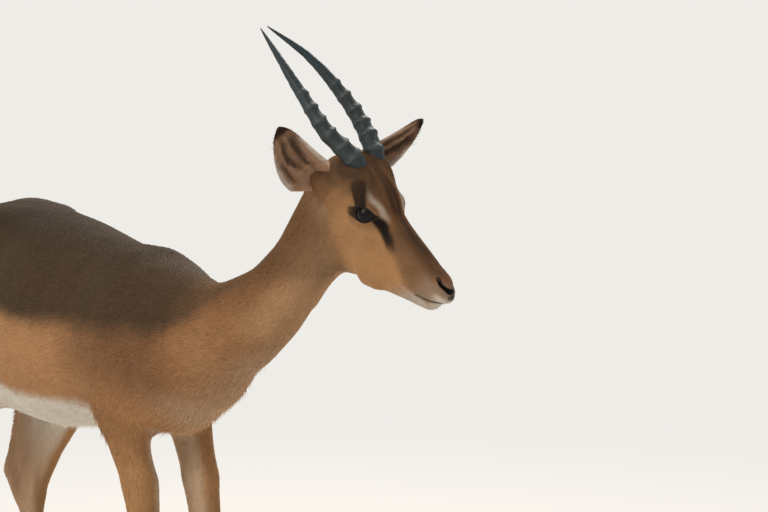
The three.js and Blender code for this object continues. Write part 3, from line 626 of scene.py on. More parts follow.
def face_formed(points, normals):
    folded = both_sides(to_head(points))
    on_face = ramp(-90, -60, folded[:, 0])[:, None]
    height, radius, axis = horn_seat(folded)
    wall = np.clip(-1 - 14 * ramp(17, 36, radius) - height, 0, 9) * ramp(38, 26, radius)
    mirror = np.sign(to_head(points)[:, 1])[:, None] * (0, 1, 0) + (1, 0, 1)
    moved = points + (wall[:, None] * axis * mirror) @ HEAD.T
    for line, height, width in FACE_FORMS:
        moved = moved + normals * on_face * (height * bell(folded, line, width))[:, None]
    distance, place = to_line(folded, NOSTRIL)
    width = NOSTRIL_WIDTH * (0.55 + 0.75 * place)
    depth = NOSTRIL_DEPTH * np.exp(-(distance / width) ** 4)
    inward = unit(from_head([[-0.45, 0, -0.2]]) - EYES_FROM_FOOT)[0]
    moved = moved - depth[:, None] * unit(0.75 * normals - 0.25 * inward)
    distance, place = to_line(folded * (1, 0, 1), MOUTH)
    fade = ramp(1.0, 0.86, place) * on_face[:, 0]
    depth = MOUTH_DEPTH * fade * np.exp(-(distance / MOUTH_WIDTH) ** 2)
    moved = moved - depth[:, None] * normals
    nose = NOSE_REACH * ramp(138, 168, folded[:, 0]) * ramp(-36, -20, folded[:, 2])
    return moved + nose[:, None] * HEAD[:, 0]


# %% Lids
LID_REAR, LID_FRONT, LID_UPPER, LID_LOWER = 15.2, 16.0, 10.6, 9.6   # half sizes of the opening, mm
LID_POINTED, LID_FULL = 2.3, 0.82       # shape of the opening's corners and of its curve
EYE_SLANT = 0.5                         # radians, front corner up
LID_THICK = 1.2                         # clearance over the eyeball, mm
SKIN_SUNK = 2.4                         # skin inside the opening lies this far in the eyeball, mm
NOSE_REACH = 3.5                        # fleshy nose beyond the bone, mm


def eye_axes(side):
    """Axes of one eye in head millimetres: along the lids to the front, up, and outwards."""
    along = np.array([math.cos(EYE_SLANT), 0, math.sin(EYE_SLANT)])
    up = np.array([-math.sin(EYE_SLANT), 0, math.cos(EYE_SLANT)])
    return along, up, np.array([0, float(side), 0])


def lid_edge(angle):
    """Half opening of the lids at an angle round it: (along, up) in millimetres."""
    a = np.cos(angle) * np.where(np.cos(angle) > 0, LID_FRONT, LID_REAR)
    span = (1 - np.abs(np.cos(angle)) ** LID_POINTED) ** LID_FULL
    return a, np.sign(np.sin(angle)) * span * np.where(np.sin(angle) > 0, LID_UPPER, LID_LOWER)


def lid_measure(folded):
    """0 at the middle of the opening, 1 on its edge; with the radius and direction from the eye."""
    v = folded - (0, EYE_SPREAD, 0)
    r = np.linalg.norm(v, axis=1)
    along, up, _ = eye_axes(1)
    a, b = (v @ along) / r * EYE_RADIUS, (v @ up) / r * EYE_RADIUS
    half_a = np.where(a > 0, LID_FRONT, LID_REAR)
    half_b = np.where(b > 0, LID_UPPER, LID_LOWER)
    edge = (np.abs(b) / half_b) ** (1 / LID_FULL) + np.abs(a / half_a) ** LID_POINTED
    edge = np.where(v[:, 1] > 0, edge ** 0.6, 9.0)
    return edge, r, v / r[:, None], b


def lidded(points):
    head = to_head(points)
    side = np.sign(head[:, 1])[:, None] * (0, 1, 0) + (1, 0, 1)
    edge, r, way, up = lid_measure(head * side)
    over = EYE_RADIUS + LID_THICK + 0.5 * ramp(1.0, 1.5, edge)
    outer = 0.5 * (r + over + np.sqrt((r - over) ** 2 + 3.0))
    crease = 0.7 * np.exp(-((edge - 1.42) / 0.1) ** 2) * ramp(-4, 3, up)
    crease += 0.35 * np.exp(-((edge - 1.4) / 0.1) ** 2) * ramp(2, -4, up)
    outer = outer - crease
    new = EYE_RADIUS - SKIN_SUNK + (outer - EYE_RADIUS + SKIN_SUNK) * ramp(0.95, 1.06, edge)
    near = ramp(40, 26, r) * (way[:, 1] > -0.35)
    new = r + near * (new - r)
    moved = (0, EYE_SPREAD, 0) + way * new[:, None]
    return from_head(moved * side)


# %% Sculpt the skin
COAT_DEPTH = {"trunk": 1.6, "neck": 1.6, "tail": 1.0, "head": 0.7}   # mm
LEG_COAT_DEPTH = [(0, 1.5), (250, 0.8), (560, 0.5)]                  # along the leg, mm

points = points_of(skin_mesh)
points = body_formed(points, normals_of(skin_mesh))
set_points(skin_mesh, points)
found = nearest_on_lines(points)
depth = by_part(COAT_DEPTH, LEG_COAT_DEPTH, found, part_weights(found))
points = points - normals_of(skin_mesh) * depth[:, None]
set_points(skin_mesh, points)
points = lidded(face_formed(points, normals_of(skin_mesh)))
set_points(skin_mesh, points)
print("skin sculpted, box", points_of(skin_mesh).min(0).round(1), points_of(skin_mesh).max(0).round(1))

# %% [markdown]
# An ear is a thin cupped leaf with a rolled root. It is far thinner than a voxel, so it is lofted on
# its own and joins the skin as a second shell whose root runs into the head. Low ridges run up
# the hollow, and the front rim curls in at the base.

# %% Ears
EAR_LENGTH, EAR_WIDTH, EAR_THICK = 128, 69, 2.2
EAR_BOW = {1: 0, -1: 9.5}              # how far each blade bulges to its lower edge
EAR_RINGS, EAR_SIDES = 54, 44
EAR_TIPS = {1: (0.08, 0.75, 0.65), -1: (-0.5, -0.67, 0.55)}          # head axes
EAR_HOLLOWS = {1: (0.95, -0.1, 0.25), -1: (0.86, -0.47, 0.21)}
EAR_RIDGES = 3


def ear_axes(side):
    """Root point and axes of an ear in head millimetres: to the tip, across, out of the hollow."""
    x = unit(np.array(EAR_TIPS[side]))
    y = unit(np.cross(EAR_HOLLOWS[side], x))
    return np.array([-80, 40 * side, -16]), x, y, np.cross(x, y)


def capped(rings):
    """Rings of points as one list, with the middles of the first and last for the end fans."""
    ends = np.stack([rings[0].mean(0), rings[-1].mean(0)])
    return np.vstack([rings.reshape(-1, 3), ends])


def loft_faces(rings, sides):
    """Quads between rings of points, with a fan at each end."""
    r, s = np.meshgrid(np.arange(rings - 1), np.arange(sides), indexing="ij")
    a, b = r * sides + s, r * sides + (s + 1) % sides
    faces = np.stack([a, b, b + sides, a + sides], -1).reshape(-1, 4).tolist()
    first, last = rings * sides, (rings - 1) * sides
    for s in range(sides):
        n = (s + 1) % sides
        faces += [[first, n, s], [first + 1, last + s, last + n]]
    return faces


def ear_points(side):
    """Points of one ear in body mm and, for each, (along 0..1, across -1..1, hollow side 0 or 1)."""
    root, x, y, z = ear_axes(side)
    u = np.linspace(-0.085, 1, EAR_RINGS)[:, None]
    angle = np.arange(EAR_SIDES) / EAR_SIDES * 2 * np.pi
    v = np.clip(u, 0, 1)
    base = np.clip(1 - v / 0.22, 0, 1)
    outline = np.sin(np.pi * np.minimum((0.16 + 0.84 * v) ** 0.74, 0.996)) ** 0.5
    half = np.maximum(EAR_WIDTH / 2 * outline, 1.6) * (1 - 0.42 * base)
    cup = 0.62 * half * (1 - 0.55 * v) + 3 * base
    thick = EAR_THICK * (1 + 6.5 * base) / 2
    lift = 9 * np.sin(np.pi * v) - 4 * v * v
    a = np.cos(angle)
    inside = np.sin(angle) > 0
    rise = np.maximum(1 - a ** 4, 0.05) ** 0.5 * np.sin(angle)
    ridges = 0.9 * np.cos(EAR_RIDGES * np.pi * a) * (1 - a * a) * inside * np.sin(np.pi * v) ** 0.5
    across = half * a + EAR_BOW[side] * np.sin(np.pi * v)
    up = -cup + lift + cup * a * a + thick * rise + ridges
    points = (root + (EAR_LENGTH * u)[..., None] * x + across[..., None] * y + up[..., None] * z)
    facts = np.stack([v + 0 * a, a + 0 * v, inside + 0 * v], -1).reshape(-1, 3)
    facts = np.vstack([facts, [(0, 0, 0), (1, 0, 0)]])
    return from_head(capped(points)), facts


skin_points = points_of(skin_mesh)
skin_faces = [list(p.vertices) for p in skin_mesh.polygons]
body_count = len(skin_points)
ear_facts = {}
shells = [(skin_points, skin_faces)]
for side in SIDES.values():
    points, ear_facts[side] = ear_points(side)
    shells.append((points, loft_faces(EAR_RINGS, EAR_SIDES)))
skin_mesh = to_mesh("skin", *joined(shells))
ear_of = np.zeros(len(skin_mesh.vertices), int)
facts_of = np.zeros((len(skin_mesh.vertices), 3))
start = body_count
for side in SIDES.values():
    stop = start + len(ear_facts[side])
    ear_of[start:stop], facts_of[start:stop] = side, ear_facts[side]
    start = stop
print("skin with ears:", sum(len(p.vertices) - 2 for p in skin_mesh.polygons), "triangles")

# %% [markdown]
# The coat's colours are a function of the place on the body, so skin and hair can both ask for the
# colour at any point. An impala's coat is countershaded in three bands with soft edges: a red-brown
# saddle, light tan flanks and a white belly. Black marks the ear tips, the rump stripes, the tail's
# midline and the hair tufts above the hind feet.

# %% Noise
def noise(points, size, seed=0):
    """Smooth value noise from -1 to 1, with lumps about size millimetres across."""
    p = points / size + 100.5 * (seed + 1)
    cell = np.floor(p).astype(np.int64)
    t = p - cell
    t = t * t * (3 - 2 * t)
    total = np.zeros(len(points))
    for i in (0, 1):
        for j in (0, 1):
            for k in (0, 1):
                n = (cell[:, 0] + i) * 73856093 ^ (cell[:, 1] + j) * 19349663 ^ (cell[:, 2] + k) * 83492791
                n = (n ^ (n >> 13)) * 1274126177 & 0x7FFFFFFF
                value = (n ^ (n >> 16)) % 65536 / 32767.5 - 1
                corner = ((t[:, 0] if i else 1 - t[:, 0]) * (t[:, 1] if j else 1 - t[:, 1])
                          * (t[:, 2] if k else 1 - t[:, 2]))
                total += value * corner
    return total


def linear(r, g, b):
    """Linear colour of a screen colour given as 0 to 255."""
    c = np.array([r, g, b]) / 255
    return np.where(c < 0.04045, c / 12.92, ((c + 0.055) / 1.055) ** 2.4)


# %% Colours of the coat
SADDLE = linear(86, 67, 47)
SADDLE_DARK = linear(63, 51, 39)
FLANK = linear(190, 141, 96)
FAWN = linear(156, 109, 70)
NECK = linear(148, 103, 66)
CHEEK = linear(190, 142, 96)
PALE = linear(214, 184, 152)
WHITE = linear(238, 228, 212)
BROWN = linear(90, 65, 46)
DARK = linear(46, 36, 31)
BLACK = linear(17, 15, 14)
PINK = linear(206, 168, 146)
GREY = linear(150, 132, 118)
SNOUT = linear(118, 86, 60)

SADDLE_EDGE = [(-620, 700), (-560, 668), (-480, 636), (-400, 620), (-250, 617), (-130, 620),
               (50, 632), (110, 646), (180, 690), (240, 740)]        # x, z in body mm
BELLY_EDGE = [(-600, 430), (-470, 470), (-400, 500), (-280, 502), (-20, 500), (30, 478), (70, 440)]
RUMP_STRIPE = [(-598, 34, 690), (-606, 44, 640), (-590, 56, 560), (-566, 66, 500)]    # body mm
FETLOCK_TUFT = [(-548, 54, 158), (-547, 54, 130)]


def mixed(colour, other, share):
    share = np.clip(share, 0, 1)[:, None]
    return colour * (1 - share) + np.asarray(other) * share


def near_line(points, line, width, soft=0.5):
    """1 within that distance of a line drawn on both sides of the body, fading outside it."""
    distance = to_line(both_sides(points), line)[0]
    return ramp(width * (1 + soft), width * (1 - soft), distance)


def coat_colour(points, normals, weights):
    """Linear colour of the coat at each point of the body (not the ears)."""
    x, y, z = points.T
    part = {name: weights[:, i] for i, name in enumerate(PARTS)}
    legs = sum(part[name] for name in PARTS if "leg" in name)
    broad, fine = noise(points, 55, 1), noise(points, 14, 2)
    inner = ramp(0.1, 0.75, -normals[:, 1] * np.sign(y))
    colour = np.tile(FLANK, (len(points), 1))
    stretched = points * (0.45, 1, 1)
    wavy = 8 * noise(stretched, 60, 3) + 4 * noise(stretched, 23, 4) + 2 * noise(points, 8, 5)
    edge = np.interp(x, *zip(*SADDLE_EDGE)) + wavy
    saddle = ramp(edge - 19, edge + 19, z) * (1 - part["head"])
    shoulder = ramp(-165, -45, x + 14 * broad) * ramp(380, 560, z) * (1 - part["neck"])
    colour = mixed(colour, FAWN, 0.9 * shoulder * ramp(500, 580, z))
    arm = ramp(-160, -100, x) * ramp(135, 70, x) * ramp(470, 610, z + 14 * broad)
    colour = mixed(colour, BROWN, 0.4 * arm * (1 - part["neck"]))
    # The neck turns paler where it faces forward and down: partly the throat's own paler hair, partly painted
    # bounce light from the ground.
    throat = ramp(-0.1, 0.8, 0.8 * normals[:, 0] - 0.6 * normals[:, 2])
    colour = mixed(colour, NECK, part["neck"] * (1 - 0.45 * throat))
    colour = mixed(colour, 0.75 * CHEEK + 0.25 * PALE, 0.8 * part["neck"] * throat)
    colour = mixed(colour, SADDLE, 0.4 * part["neck"] * ramp(0.1, 0.8, normals[:, 2]))
    colour = mixed(colour, SADDLE, saddle * (1 - 0.55 * part["neck"]))
    colour = mixed(colour, SADDLE_DARK, saddle * ramp(700, 752, z) * 0.8 * (1 - part["neck"]))
    edge = np.interp(x, *zip(*BELLY_EDGE)) + 5 * broad + 3 * fine
    inside_leg = legs * inner * ramp(420, 470, z)
    belly = ramp(edge + 12, edge - 12, z) * (part["trunk"] * ramp(-470, -400, x) + inside_leg)
    colour = mixed(colour, WHITE, belly * ramp(90, 30, x))
    # Painted bounce light from the ground: the front of the trunk turns paler where it faces down.
    colour = mixed(colour, PALE, 0.55 * ramp(0.2, 0.9, -normals[:, 2]) * part["trunk"]
                   * ramp(40, 120, x))
    return legs_marked(colour, points, normals, part, legs, inner, fine)


def legs_marked(colour, points, normals, part, legs, inner, fine):
    """Goes on with the legs, the rump and the tail."""
    x, y, z = points.T
    hind = (x < -300)
    leg_colour = mixed(np.tile(FAWN, (len(points), 1)), CHEEK, ramp(540, 400, z))
    leg_colour = mixed(leg_colour, PALE, 0.5 * ramp(250, 90, z))
    colour = mixed(colour, leg_colour, legs * ramp(560, 470, z))
    colour = mixed(colour, PALE, 0.8 * legs * inner * ramp(620, 540, z))
    colour = mixed(colour, WHITE, 0.85 * legs * inner * hind * ramp(330, 420, z)
                   * ramp(-560, -500, x))
    colour = mixed(colour, BROWN, 0.35 * legs * ramp(0.5, 1.0, normals[:, 0])
                   * ramp(420, 300, z) * ramp(60, 140, z))
    cheeks = hind * ramp(-582, -596, x) * ramp(30, 20, np.abs(y)) * ramp(500, 560, z)
    colour = mixed(colour, WHITE, cheeks * ramp(700, 660, z))
    stripe = near_line(points, RUMP_STRIPE, 9.5 + 1.5 * fine)
    colour = mixed(colour, BLACK, 0.96 * stripe)
    tuft = near_line(points, FETLOCK_TUFT, 13, 0.3) * ramp(-532, -540, x)
    colour = mixed(colour, BLACK, tuft)
    colour = mixed(colour, BROWN, 0.7 * legs * ramp(52, 44, z))
    tail = part["tail"]
    colour = mixed(colour, WHITE, tail * ramp(712, 668, z))
    midline = ramp(9, 5, np.abs(y + 2 * fine)) * ramp(-0.2, -0.6, normals[:, 0])
    colour = mixed(colour, BLACK, tail * midline)
    colour = mixed(colour, SADDLE, 0.6 * tail * ramp(670, 705, z) * ramp(16, 8, np.abs(y)))
    return face_marked(colour, points, normals, part["head"])


# %% Colours of the face
BLAZE = [(20, 0, 22), (41, 0, 15), (70, 0, 7), (126, 0, 1)]              # head mm
TEAR = [(20, 34, 3), (34, 31, -1), (49, 30, -7), (61, 29, -14), (71, 28, -20)]
PALE_STREAK = [(-18, 34, 26), (-5, 33, 22), (9, 28, 19), (23, 24, 12), (38, 22, 7)]
EYE_CORNER = [(-18, 44, -11.5), (-12, 45, -7)]
BROW_PATCH = [(-30, 38, 26), (-17, 41, 13), (-9, 42, 6)]
FOREHEAD_LINE = [(-46, 3, 46), (-12, 5, 39), (15, 6, 26), (29, 5, 18)]
POLL_TUFT = [(-92, 26, 8), (-68, 36, 17)]
BELOW_EAR = [(-98, 23, -72), (-75, 40, -54), (-56, 43, -48)]


def face_marked(colour, points, normals, head):
    """Goes on with the face: broad tones first, then the marks, then the bare skin."""
    f = both_sides(to_head(points))
    x, y, z = f.T                         # head mm
    n = normals @ HEAD
    broad, fine, dots = noise(points, 26, 3), noise(points, 9, 4), noise(points, 3.4, 5)

    def line(knots, width, soft=1.0, seen=(1, 1, 1)):
        distance = to_line(f * seen, np.array(knots) * seen)[0] + 0.9 * fine
        return ramp(width * (1 + soft), width * (1 - 0.5 * soft), distance)

    top = ramp(-8, 22, z + 0.16 * x + 3 * broad)
    face = mixed(np.tile(CHEEK, (len(points), 1)), FAWN, top)
    face = mixed(face, NECK, ramp(-10, -90, x))
    nose = to_line(f, BLAZE)
    snout_from = np.interp(z, [-46, -36, -20, -7, 0, 12], [112, 91, 71, 50, 38, 40])
    snout = ramp(-16, 20, x - snout_from + 5 * broad + 3 * fine) * ramp(154, 128, x)
    face = mixed(face, SNOUT, 0.68 * snout)
    wide = ramp(23, 11, nose[0] + 1.5 * fine) * ramp(8, 34, x)
    face = mixed(face, BROWN, 0.46 * wide * ramp(152, 126, x))
    face = mixed(face, DARK, 0.45 * ramp(9, 4, nose[0] + fine) * ramp(118, 90, x)
                 * ramp(12, 40, x))
    crown = (ramp(34, 16, y + 3 * fine) * ramp(36, 8, x)
             * ramp(0.2, 0.7, n[:, 2]))
    face = mixed(face, BROWN, 0.5 * crown)
    face = mixed(face, DARK, 0.65 * line(FOREHEAD_LINE, 4.0))
    under = ramp(0.15, 0.85, -n[:, 2]) * ramp(-70, 10, x) * ramp(-26, -46, z)
    face = mixed(face, PALE, 0.35 * under)
    muzzle = ramp(104, 140, x + 5 * fine) * ramp(-2, -18, z)
    face = mixed(face, 0.3 * PALE + 0.7 * GREY, 0.55 * muzzle)
    lips = ramp(140, 160, x + 4 * fine) * ramp(-16, -26, z)
    chin = ramp(92, 130, x + 4 * fine) * ramp(-42, -51, z)
    face = mixed(face, WHITE, np.maximum(0.8 * lips, 0.5 * chin))
    face = mixed(face, GREY, 0.45 * ramp(136, 156, x) * ramp(-24, -14, z)
                 * ramp(4, -6, z))
    edge, r, _, up = lid_measure(f)
    close = ramp(30, 25, r)
    face = mixed(face, BROWN, 0.4 * close * ramp(1.6, 1.25, edge + 0.05 * fine))
    below = np.exp(-((edge - 1.62) / 0.16) ** 2) * ramp(0, -6, up)
    face = mixed(face, PALE, 0.55 * close * below)
    distance, place = to_line(f, PALE_STREAK)
    streak = ramp(8.5, 0.5, distance + 1.2 * fine) * ramp(1.0, 0.7, place + 0.08 * fine)
    face = mixed(face, 0.6 * PALE + 0.4 * WHITE, 0.82 * streak)
    face = mixed(face, PALE, 0.5 * line(BELOW_EAR, 12) + 0.65 * line(POLL_TUFT, 8))
    height, radius, _ = horn_seat(f)
    face = mixed(face, SADDLE, 0.8 * ramp(68, 36, radius + 5 * broad + 4 * fine)
                 * ramp(-56, -20, height) * ramp(12, 24, y))
    flat = np.array([1, 0, 1])           # marks on the side of the face are drawn as seen from the side
    face = mixed(face, BLACK, 0.98 * line(BROW_PATCH, 8.4, 0.35, flat) * (y > 24))
    face = mixed(face, BLACK, 0.85 * line(EYE_CORNER, 2.8, 0.5))
    distance, place = to_line(f * flat, np.array(TEAR) * flat)
    tear = ramp(7.4 + 2 * place, 2.2 + place, distance + fine) * ramp(14, 22, y)
    tear *= ramp(1.0, 0.62, place - 0.05 * fine)
    face = mixed(face, DARK, 0.92 * tear)
    face = mixed(face, BLACK, 0.8 * tear * ramp(0.9, 0.2, place))
    face = mixed(face, BLACK, 0.97 * ramp(1.1, 1.03, edge + 0.02 * fine) * close)
    outer = 0.5 + 0.5 * ramp(18, 34, y)
    face = mixed(face, DARK, 0.9 * outer * ramp(30, 20, radius + 2 * fine)
                 * ramp(-24, -12, height))
    # Black at the nostrils: the nose's bare black skin round each one, and painted shade inside the opening
    # and along its floor.
    nostril = to_line(f, NOSTRIL)[0] + 0.4 * dots
    face = mixed(face, BLACK, ramp(NOSTRIL_WIDTH + 0.9, NOSTRIL_WIDTH - 0.8, nostril))
    face = mixed(face, BLACK, ramp(5.2, 4.2, to_line(f, NOSTRIL_FLOOR)[0]))
    pad = ramp(160, 165, x + dots) * ramp(-24, -18, z) * ramp(11, 8, y)
    face = mixed(face, BLACK, 0.85 * pad)
    mouth, place = to_line(f * (1, 0, 1), MOUTH)
    face = mixed(face, BLACK, 0.88 * ramp(2.5, 0.9, mouth) * ramp(1.0, 0.88, place))
    spots = ramp(0.5, 0.75, dots) * ramp(84, 96, x) * ramp(-8, -20, z)
    face = mixed(face, DARK, 0.4 * spots * ramp(24, 12, np.abs(x - 104)))
    return colour * (1 - head[:, None]) + face * head[:, None]


# %% Colours of the ears
def ear_colour(points, facts):
    """facts: along the ear, across it, and whether the point is on the hollow side."""
    along, across, hollow = facts.T
    fine = noise(points, 6, 6)
    reach = np.abs(across)
    outer = mixed(np.tile(FAWN, (len(points), 1)), NECK, 0.5 * ramp(0.2, 0.0, along))
    tip = ramp(0.72, 0.84, along + 0.03 * fine + 0.05 * reach)
    outer = mixed(outer, BLACK, 0.95 * tip)
    fan = across + 0.55 * (along - 0.4)
    streak = noise(np.stack([along * 3.4 - 2.2 * fan, fan * 3.2, hollow], 1), 1.0, 9)
    inner = mixed(np.tile(PINK, (len(points), 1)), CHEEK, 0.55 + 0.35 * fine)
    middle = ramp(0.88, 0.55, reach) * ramp(0.06, 0.22, along) * ramp(0.86, 0.7, along)
    inner = mixed(inner, BROWN, 0.4 * middle * ramp(-0.05, 0.25, streak))
    inner = mixed(inner, DARK, 0.7 * middle * ramp(0.2, 0.45, streak))
    inner = mixed(inner, BLACK, 0.9 * ramp(0.8, 0.9, along + 0.03 * fine))
    inner = mixed(inner, WHITE, 0.75 * ramp(0.78, 0.95, reach) * (1 - tip)
                  * ramp(0.12, 0.3, along))
    return np.where(hollow[:, None] > 0.5, inner, outer)


# %% Paint the skin
def paint(mesh, name, colours):
    """Stores a linear colour at each vertex."""
    layer = mesh.color_attributes.new(name, "BYTE_COLOR", "POINT")
    rgba = np.ones((len(colours), 4), np.float32)
    rgba[:, :3] = np.clip(colours, 0, 1)
    layer.data.foreach_set("color", rgba.ravel())


def store(mesh, name, kind, values):
    """Keeps a number (FLOAT) or three (FLOAT_VECTOR) at each vertex, for a material or a tree."""
    layer = mesh.attributes.new(name, kind, "POINT")
    field = "vector" if kind == "FLOAT_VECTOR" else "value"
    layer.data.foreach_set(field, values.astype(np.float32).ravel())


UNDER_HAIR = 0.92                       # the skin is a little darker than the hair over it
skin_points, skin_normals = points_of(skin_mesh), normals_of(skin_mesh)
skin_weights = part_weights(nearest_on_lines(skin_points))
skin_colours = coat_colour(skin_points, skin_normals, skin_weights)
on_ear = ear_of != 0
skin_colours[on_ear] = ear_colour(skin_points[on_ear], facts_of[on_ear])
paint(skin_mesh, "coat", skin_colours * UNDER_HAIR)
print("mean colour of the skin", skin_colours.mean(0).round(3))

# %% [markdown]
# Materials come next, because each piece is finished as it is made. Two effects are shared. Fine
# hair grain breaks up the coat's colour and gives the bump of short flat fur. Growth lines run
# round the horns and hooves. Each is a node group that is built once and placed with its own values.

# %% Node groups
def new_group(name, inputs, outputs, kind="ShaderNodeTree"):
    """Node tree with named inputs (name, kind, default) and outputs (name, kind), and its ends."""
    group = bpy.data.node_groups.new(name, kind)
    for label, sort, value in inputs:
        socket = group.interface.new_socket(label, in_out="INPUT", socket_type=f"NodeSocket{sort}")
        if value is not None:
            socket.default_value = value
    for label, sort in outputs:
        group.interface.new_socket(label, in_out="OUTPUT", socket_type=f"NodeSocket{sort}")
    return group, group.nodes.new("NodeGroupInput"), group.nodes.new("NodeGroupOutput")


def node(tree, kind, links=(), **values):
    """New node; values set its properties or inputs, links are (output socket, input name)."""
    made = tree.nodes.new(kind)
    for key, value in values.items():
        if hasattr(made, key):
            setattr(made, key, value)
        else:
            made.inputs[key.replace("_", " ")].default_value = value
    for source, target in links:
        tree.links.new(source, made.inputs[target])
    return made


def maths(tree, operation, *values):
    """Math node; each value is a number or another node's output."""
    made = tree.nodes.new("ShaderNodeMath")
    made.operation = operation
    for socket, value in zip(made.inputs, values):
        if isinstance(value, (int, float)):
            socket.default_value = value
        else:
            tree.links.new(value, socket)
    return made.outputs[0]


def ranged(tree, source, before=(0, 1), after=(0, 1), **values):
    """Map Range node: the range before becomes the range after."""
    made = node(tree, "ShaderNodeMapRange", [(source, "Value")], **values)
    for label, value in zip(("From Min", "From Max", "To Min", "To Max"), (*before, *after)):
        made.inputs[label].default_value = value
    return made.outputs[0]


def colour_mix(tree, share, *colours):
    """Mix node between two colours, each three numbers or another node's output."""
    made = node(tree, "ShaderNodeMix", [(share, 0)], data_type="RGBA")
    for socket, colour in zip(made.inputs[6:8], colours):
        if isinstance(colour, tuple):
            socket.default_value = (*colour, 1)
        else:
            tree.links.new(colour, socket)
    return made.outputs[2]


def grain_group():
    """Patchy shade and fine lumps over any colour."""
    group, given, out = new_group(
        "hair grain",
        [("Colour", "Color", (0.5, 0.4, 0.3, 1)), ("Patch Size", "Float", 40.0),
         ("Grain Size", "Float", 2.0), ("Contrast", "Float", 0.25)],
        [("Colour", "Color"), ("Height", "Float")])
    place = node(group, "ShaderNodeTexCoord").outputs["Object"]
    patch, grain = (node(group, "ShaderNodeTexNoise",
                         [(place, "Vector"), (maths(group, "DIVIDE", 1 / MM, given.outputs[label]), "Scale")],
                         Detail=detail).outputs["Fac"]
                    for label, detail in (("Patch Size", 3.0), ("Grain Size", 4.0)))
    contrast = given.outputs["Contrast"]
    shade = maths(group, "MULTIPLY", maths(group, "ADD", patch, grain), contrast)
    centred = maths(group, "ADD", shade, maths(group, "SUBTRACT", 1.0, contrast))
    tinted = node(group, "ShaderNodeVectorMath", [(given.outputs["Colour"], 0), (centred, 1)],
                  operation="MULTIPLY")
    group.links.new(tinted.outputs[0], out.inputs["Colour"])
    group.links.new(grain, out.inputs["Height"])
    return group


def growth_group():
    """Fine lines across a piece that grows from its root, and streaks along it."""
    group, given, out = new_group(
        "growth lines",
        [("Vector", "Vector", None), ("Lines", "Float", 60.0), ("Streaks", "Float", 30.0),
         ("Dark", "Color", (0.02, 0.02, 0.02, 1)), ("Light", "Color", (0.1, 0.1, 0.1, 1))],
        [("Colour", "Color"), ("Height", "Float"), ("Roughness", "Float")])
    parts = node(group, "ShaderNodeSeparateXYZ", [(given.outputs["Vector"], 0)])
    squeezed = maths(group, "MULTIPLY", parts.outputs["Z"], 0.08)
    stretched = node(group, "ShaderNodeCombineXYZ",
                     [(parts.outputs["X"], 0), (parts.outputs["Y"], 1), (squeezed, 2)])
    streak = node(group, "ShaderNodeTexNoise",
                  [(stretched.outputs[0], "Vector"), (given.outputs["Streaks"], "Scale")], Detail=5.0)
    wave = node(group, "ShaderNodeTexWave",
                [(given.outputs["Vector"], "Vector"), (given.outputs["Lines"], "Scale")],
                bands_direction="Z", Distortion=7.0, Detail=3.0)
    streak = streak.outputs["Fac"]
    colour = colour_mix(group, streak, given.outputs["Dark"], given.outputs["Light"])
    group.links.new(colour, out.inputs["Colour"])
    group.links.new(maths(group, "ADD", streak, wave.outputs["Fac"]), out.inputs["Height"])
    group.links.new(ranged(group, streak, after=(0.42, 0.7)), out.inputs["Roughness"])
    return group


HAIR_GRAIN, GROWTH_LINES = grain_group(), growth_group()


def new_material(name):
    material = bpy.data.materials.new(name)
    material.use_nodes = True
    return material, material.node_tree, material.node_tree.nodes["Principled BSDF"]


def set_inputs(made, **values):
    """Sets a node's inputs by name, with _ for a space; a colour is a tuple of four."""
    for key, value in values.items():
        made.inputs[key.replace("_", " ")].default_value = value
    return made


def placed(tree, group, **values):
    """Places a node group with its own values."""
    made = tree.nodes.new("ShaderNodeGroup")
    made.node_tree = group
    return set_inputs(made, **values)


def bumped(tree, shader, height, distance, strength=0.6):
    """Bump of that height in millimetres on a material."""
    bump = node(tree, "ShaderNodeBump", [(height, "Height")], Distance=distance * MM, Strength=strength)
    tree.links.new(bump.outputs[0], shader.inputs["Normal"])


def grained(name, colour, patch, size, contrast, **values):
    """Material of a plain colour broken by the grain; values set the shader's own inputs."""
    material, tree, shader = new_material(name)
    grain = placed(tree, HAIR_GRAIN, Colour=(*colour, 1), Patch_Size=patch, Grain_Size=size,
                   Contrast=contrast)
    tree.links.new(grain.outputs["Colour"], shader.inputs["Base Color"])
    set_inputs(shader, **values)
    return material, tree, shader, grain


def finished(name, mesh, look, slot, *replaces):
    """A mesh as a piece of the object; look is None where the mesh has its material already."""
    if look is not None:
        mesh.materials.append(look)
    piece = to_object(name, mesh)
    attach(piece, "root")
    if replaces:
        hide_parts(*replaces)
    return piece


# %% [markdown]
# The skin and the hair share one look: colour from the coat's own paint, broken by the grain, dull,
# with a faint sheen. The skin alone has bump. Bare skin at the nose and lids is smoother, so the
# roughness follows a second painted value.

# %% Coat materials
def coat_material(name, contrast, bump_mm):
    material, tree, shader = new_material(name)
    paint_node = node(tree, "ShaderNodeAttribute", attribute_name="coat")
    grain = placed(tree, HAIR_GRAIN, Patch_Size=60.0, Grain_Size=1.6, Contrast=contrast)
    tree.links.new(paint_node.outputs["Color"], grain.inputs["Colour"])
    tree.links.new(grain.outputs["Colour"], shader.inputs["Base Color"])
    set_inputs(shader, Specular_IOR_Level=0.14, Sheen_Weight=0.03, Sheen_Roughness=0.5)
    if bump_mm:
        bare = node(tree, "ShaderNodeAttribute", attribute_name="bare").outputs["Fac"]
        tree.links.new(ranged(tree, bare, after=(0.82, 0.34)), shader.inputs["Roughness"])
        bumped(tree, shader, grain.outputs["Height"], bump_mm)
    else:
        shader.inputs["Roughness"].default_value = 0.7
    return material


SKIN_LOOK = coat_material("short fur skin", 0.34, 0.5)
HAIR_LOOK = coat_material("hair", 0.22, 0)


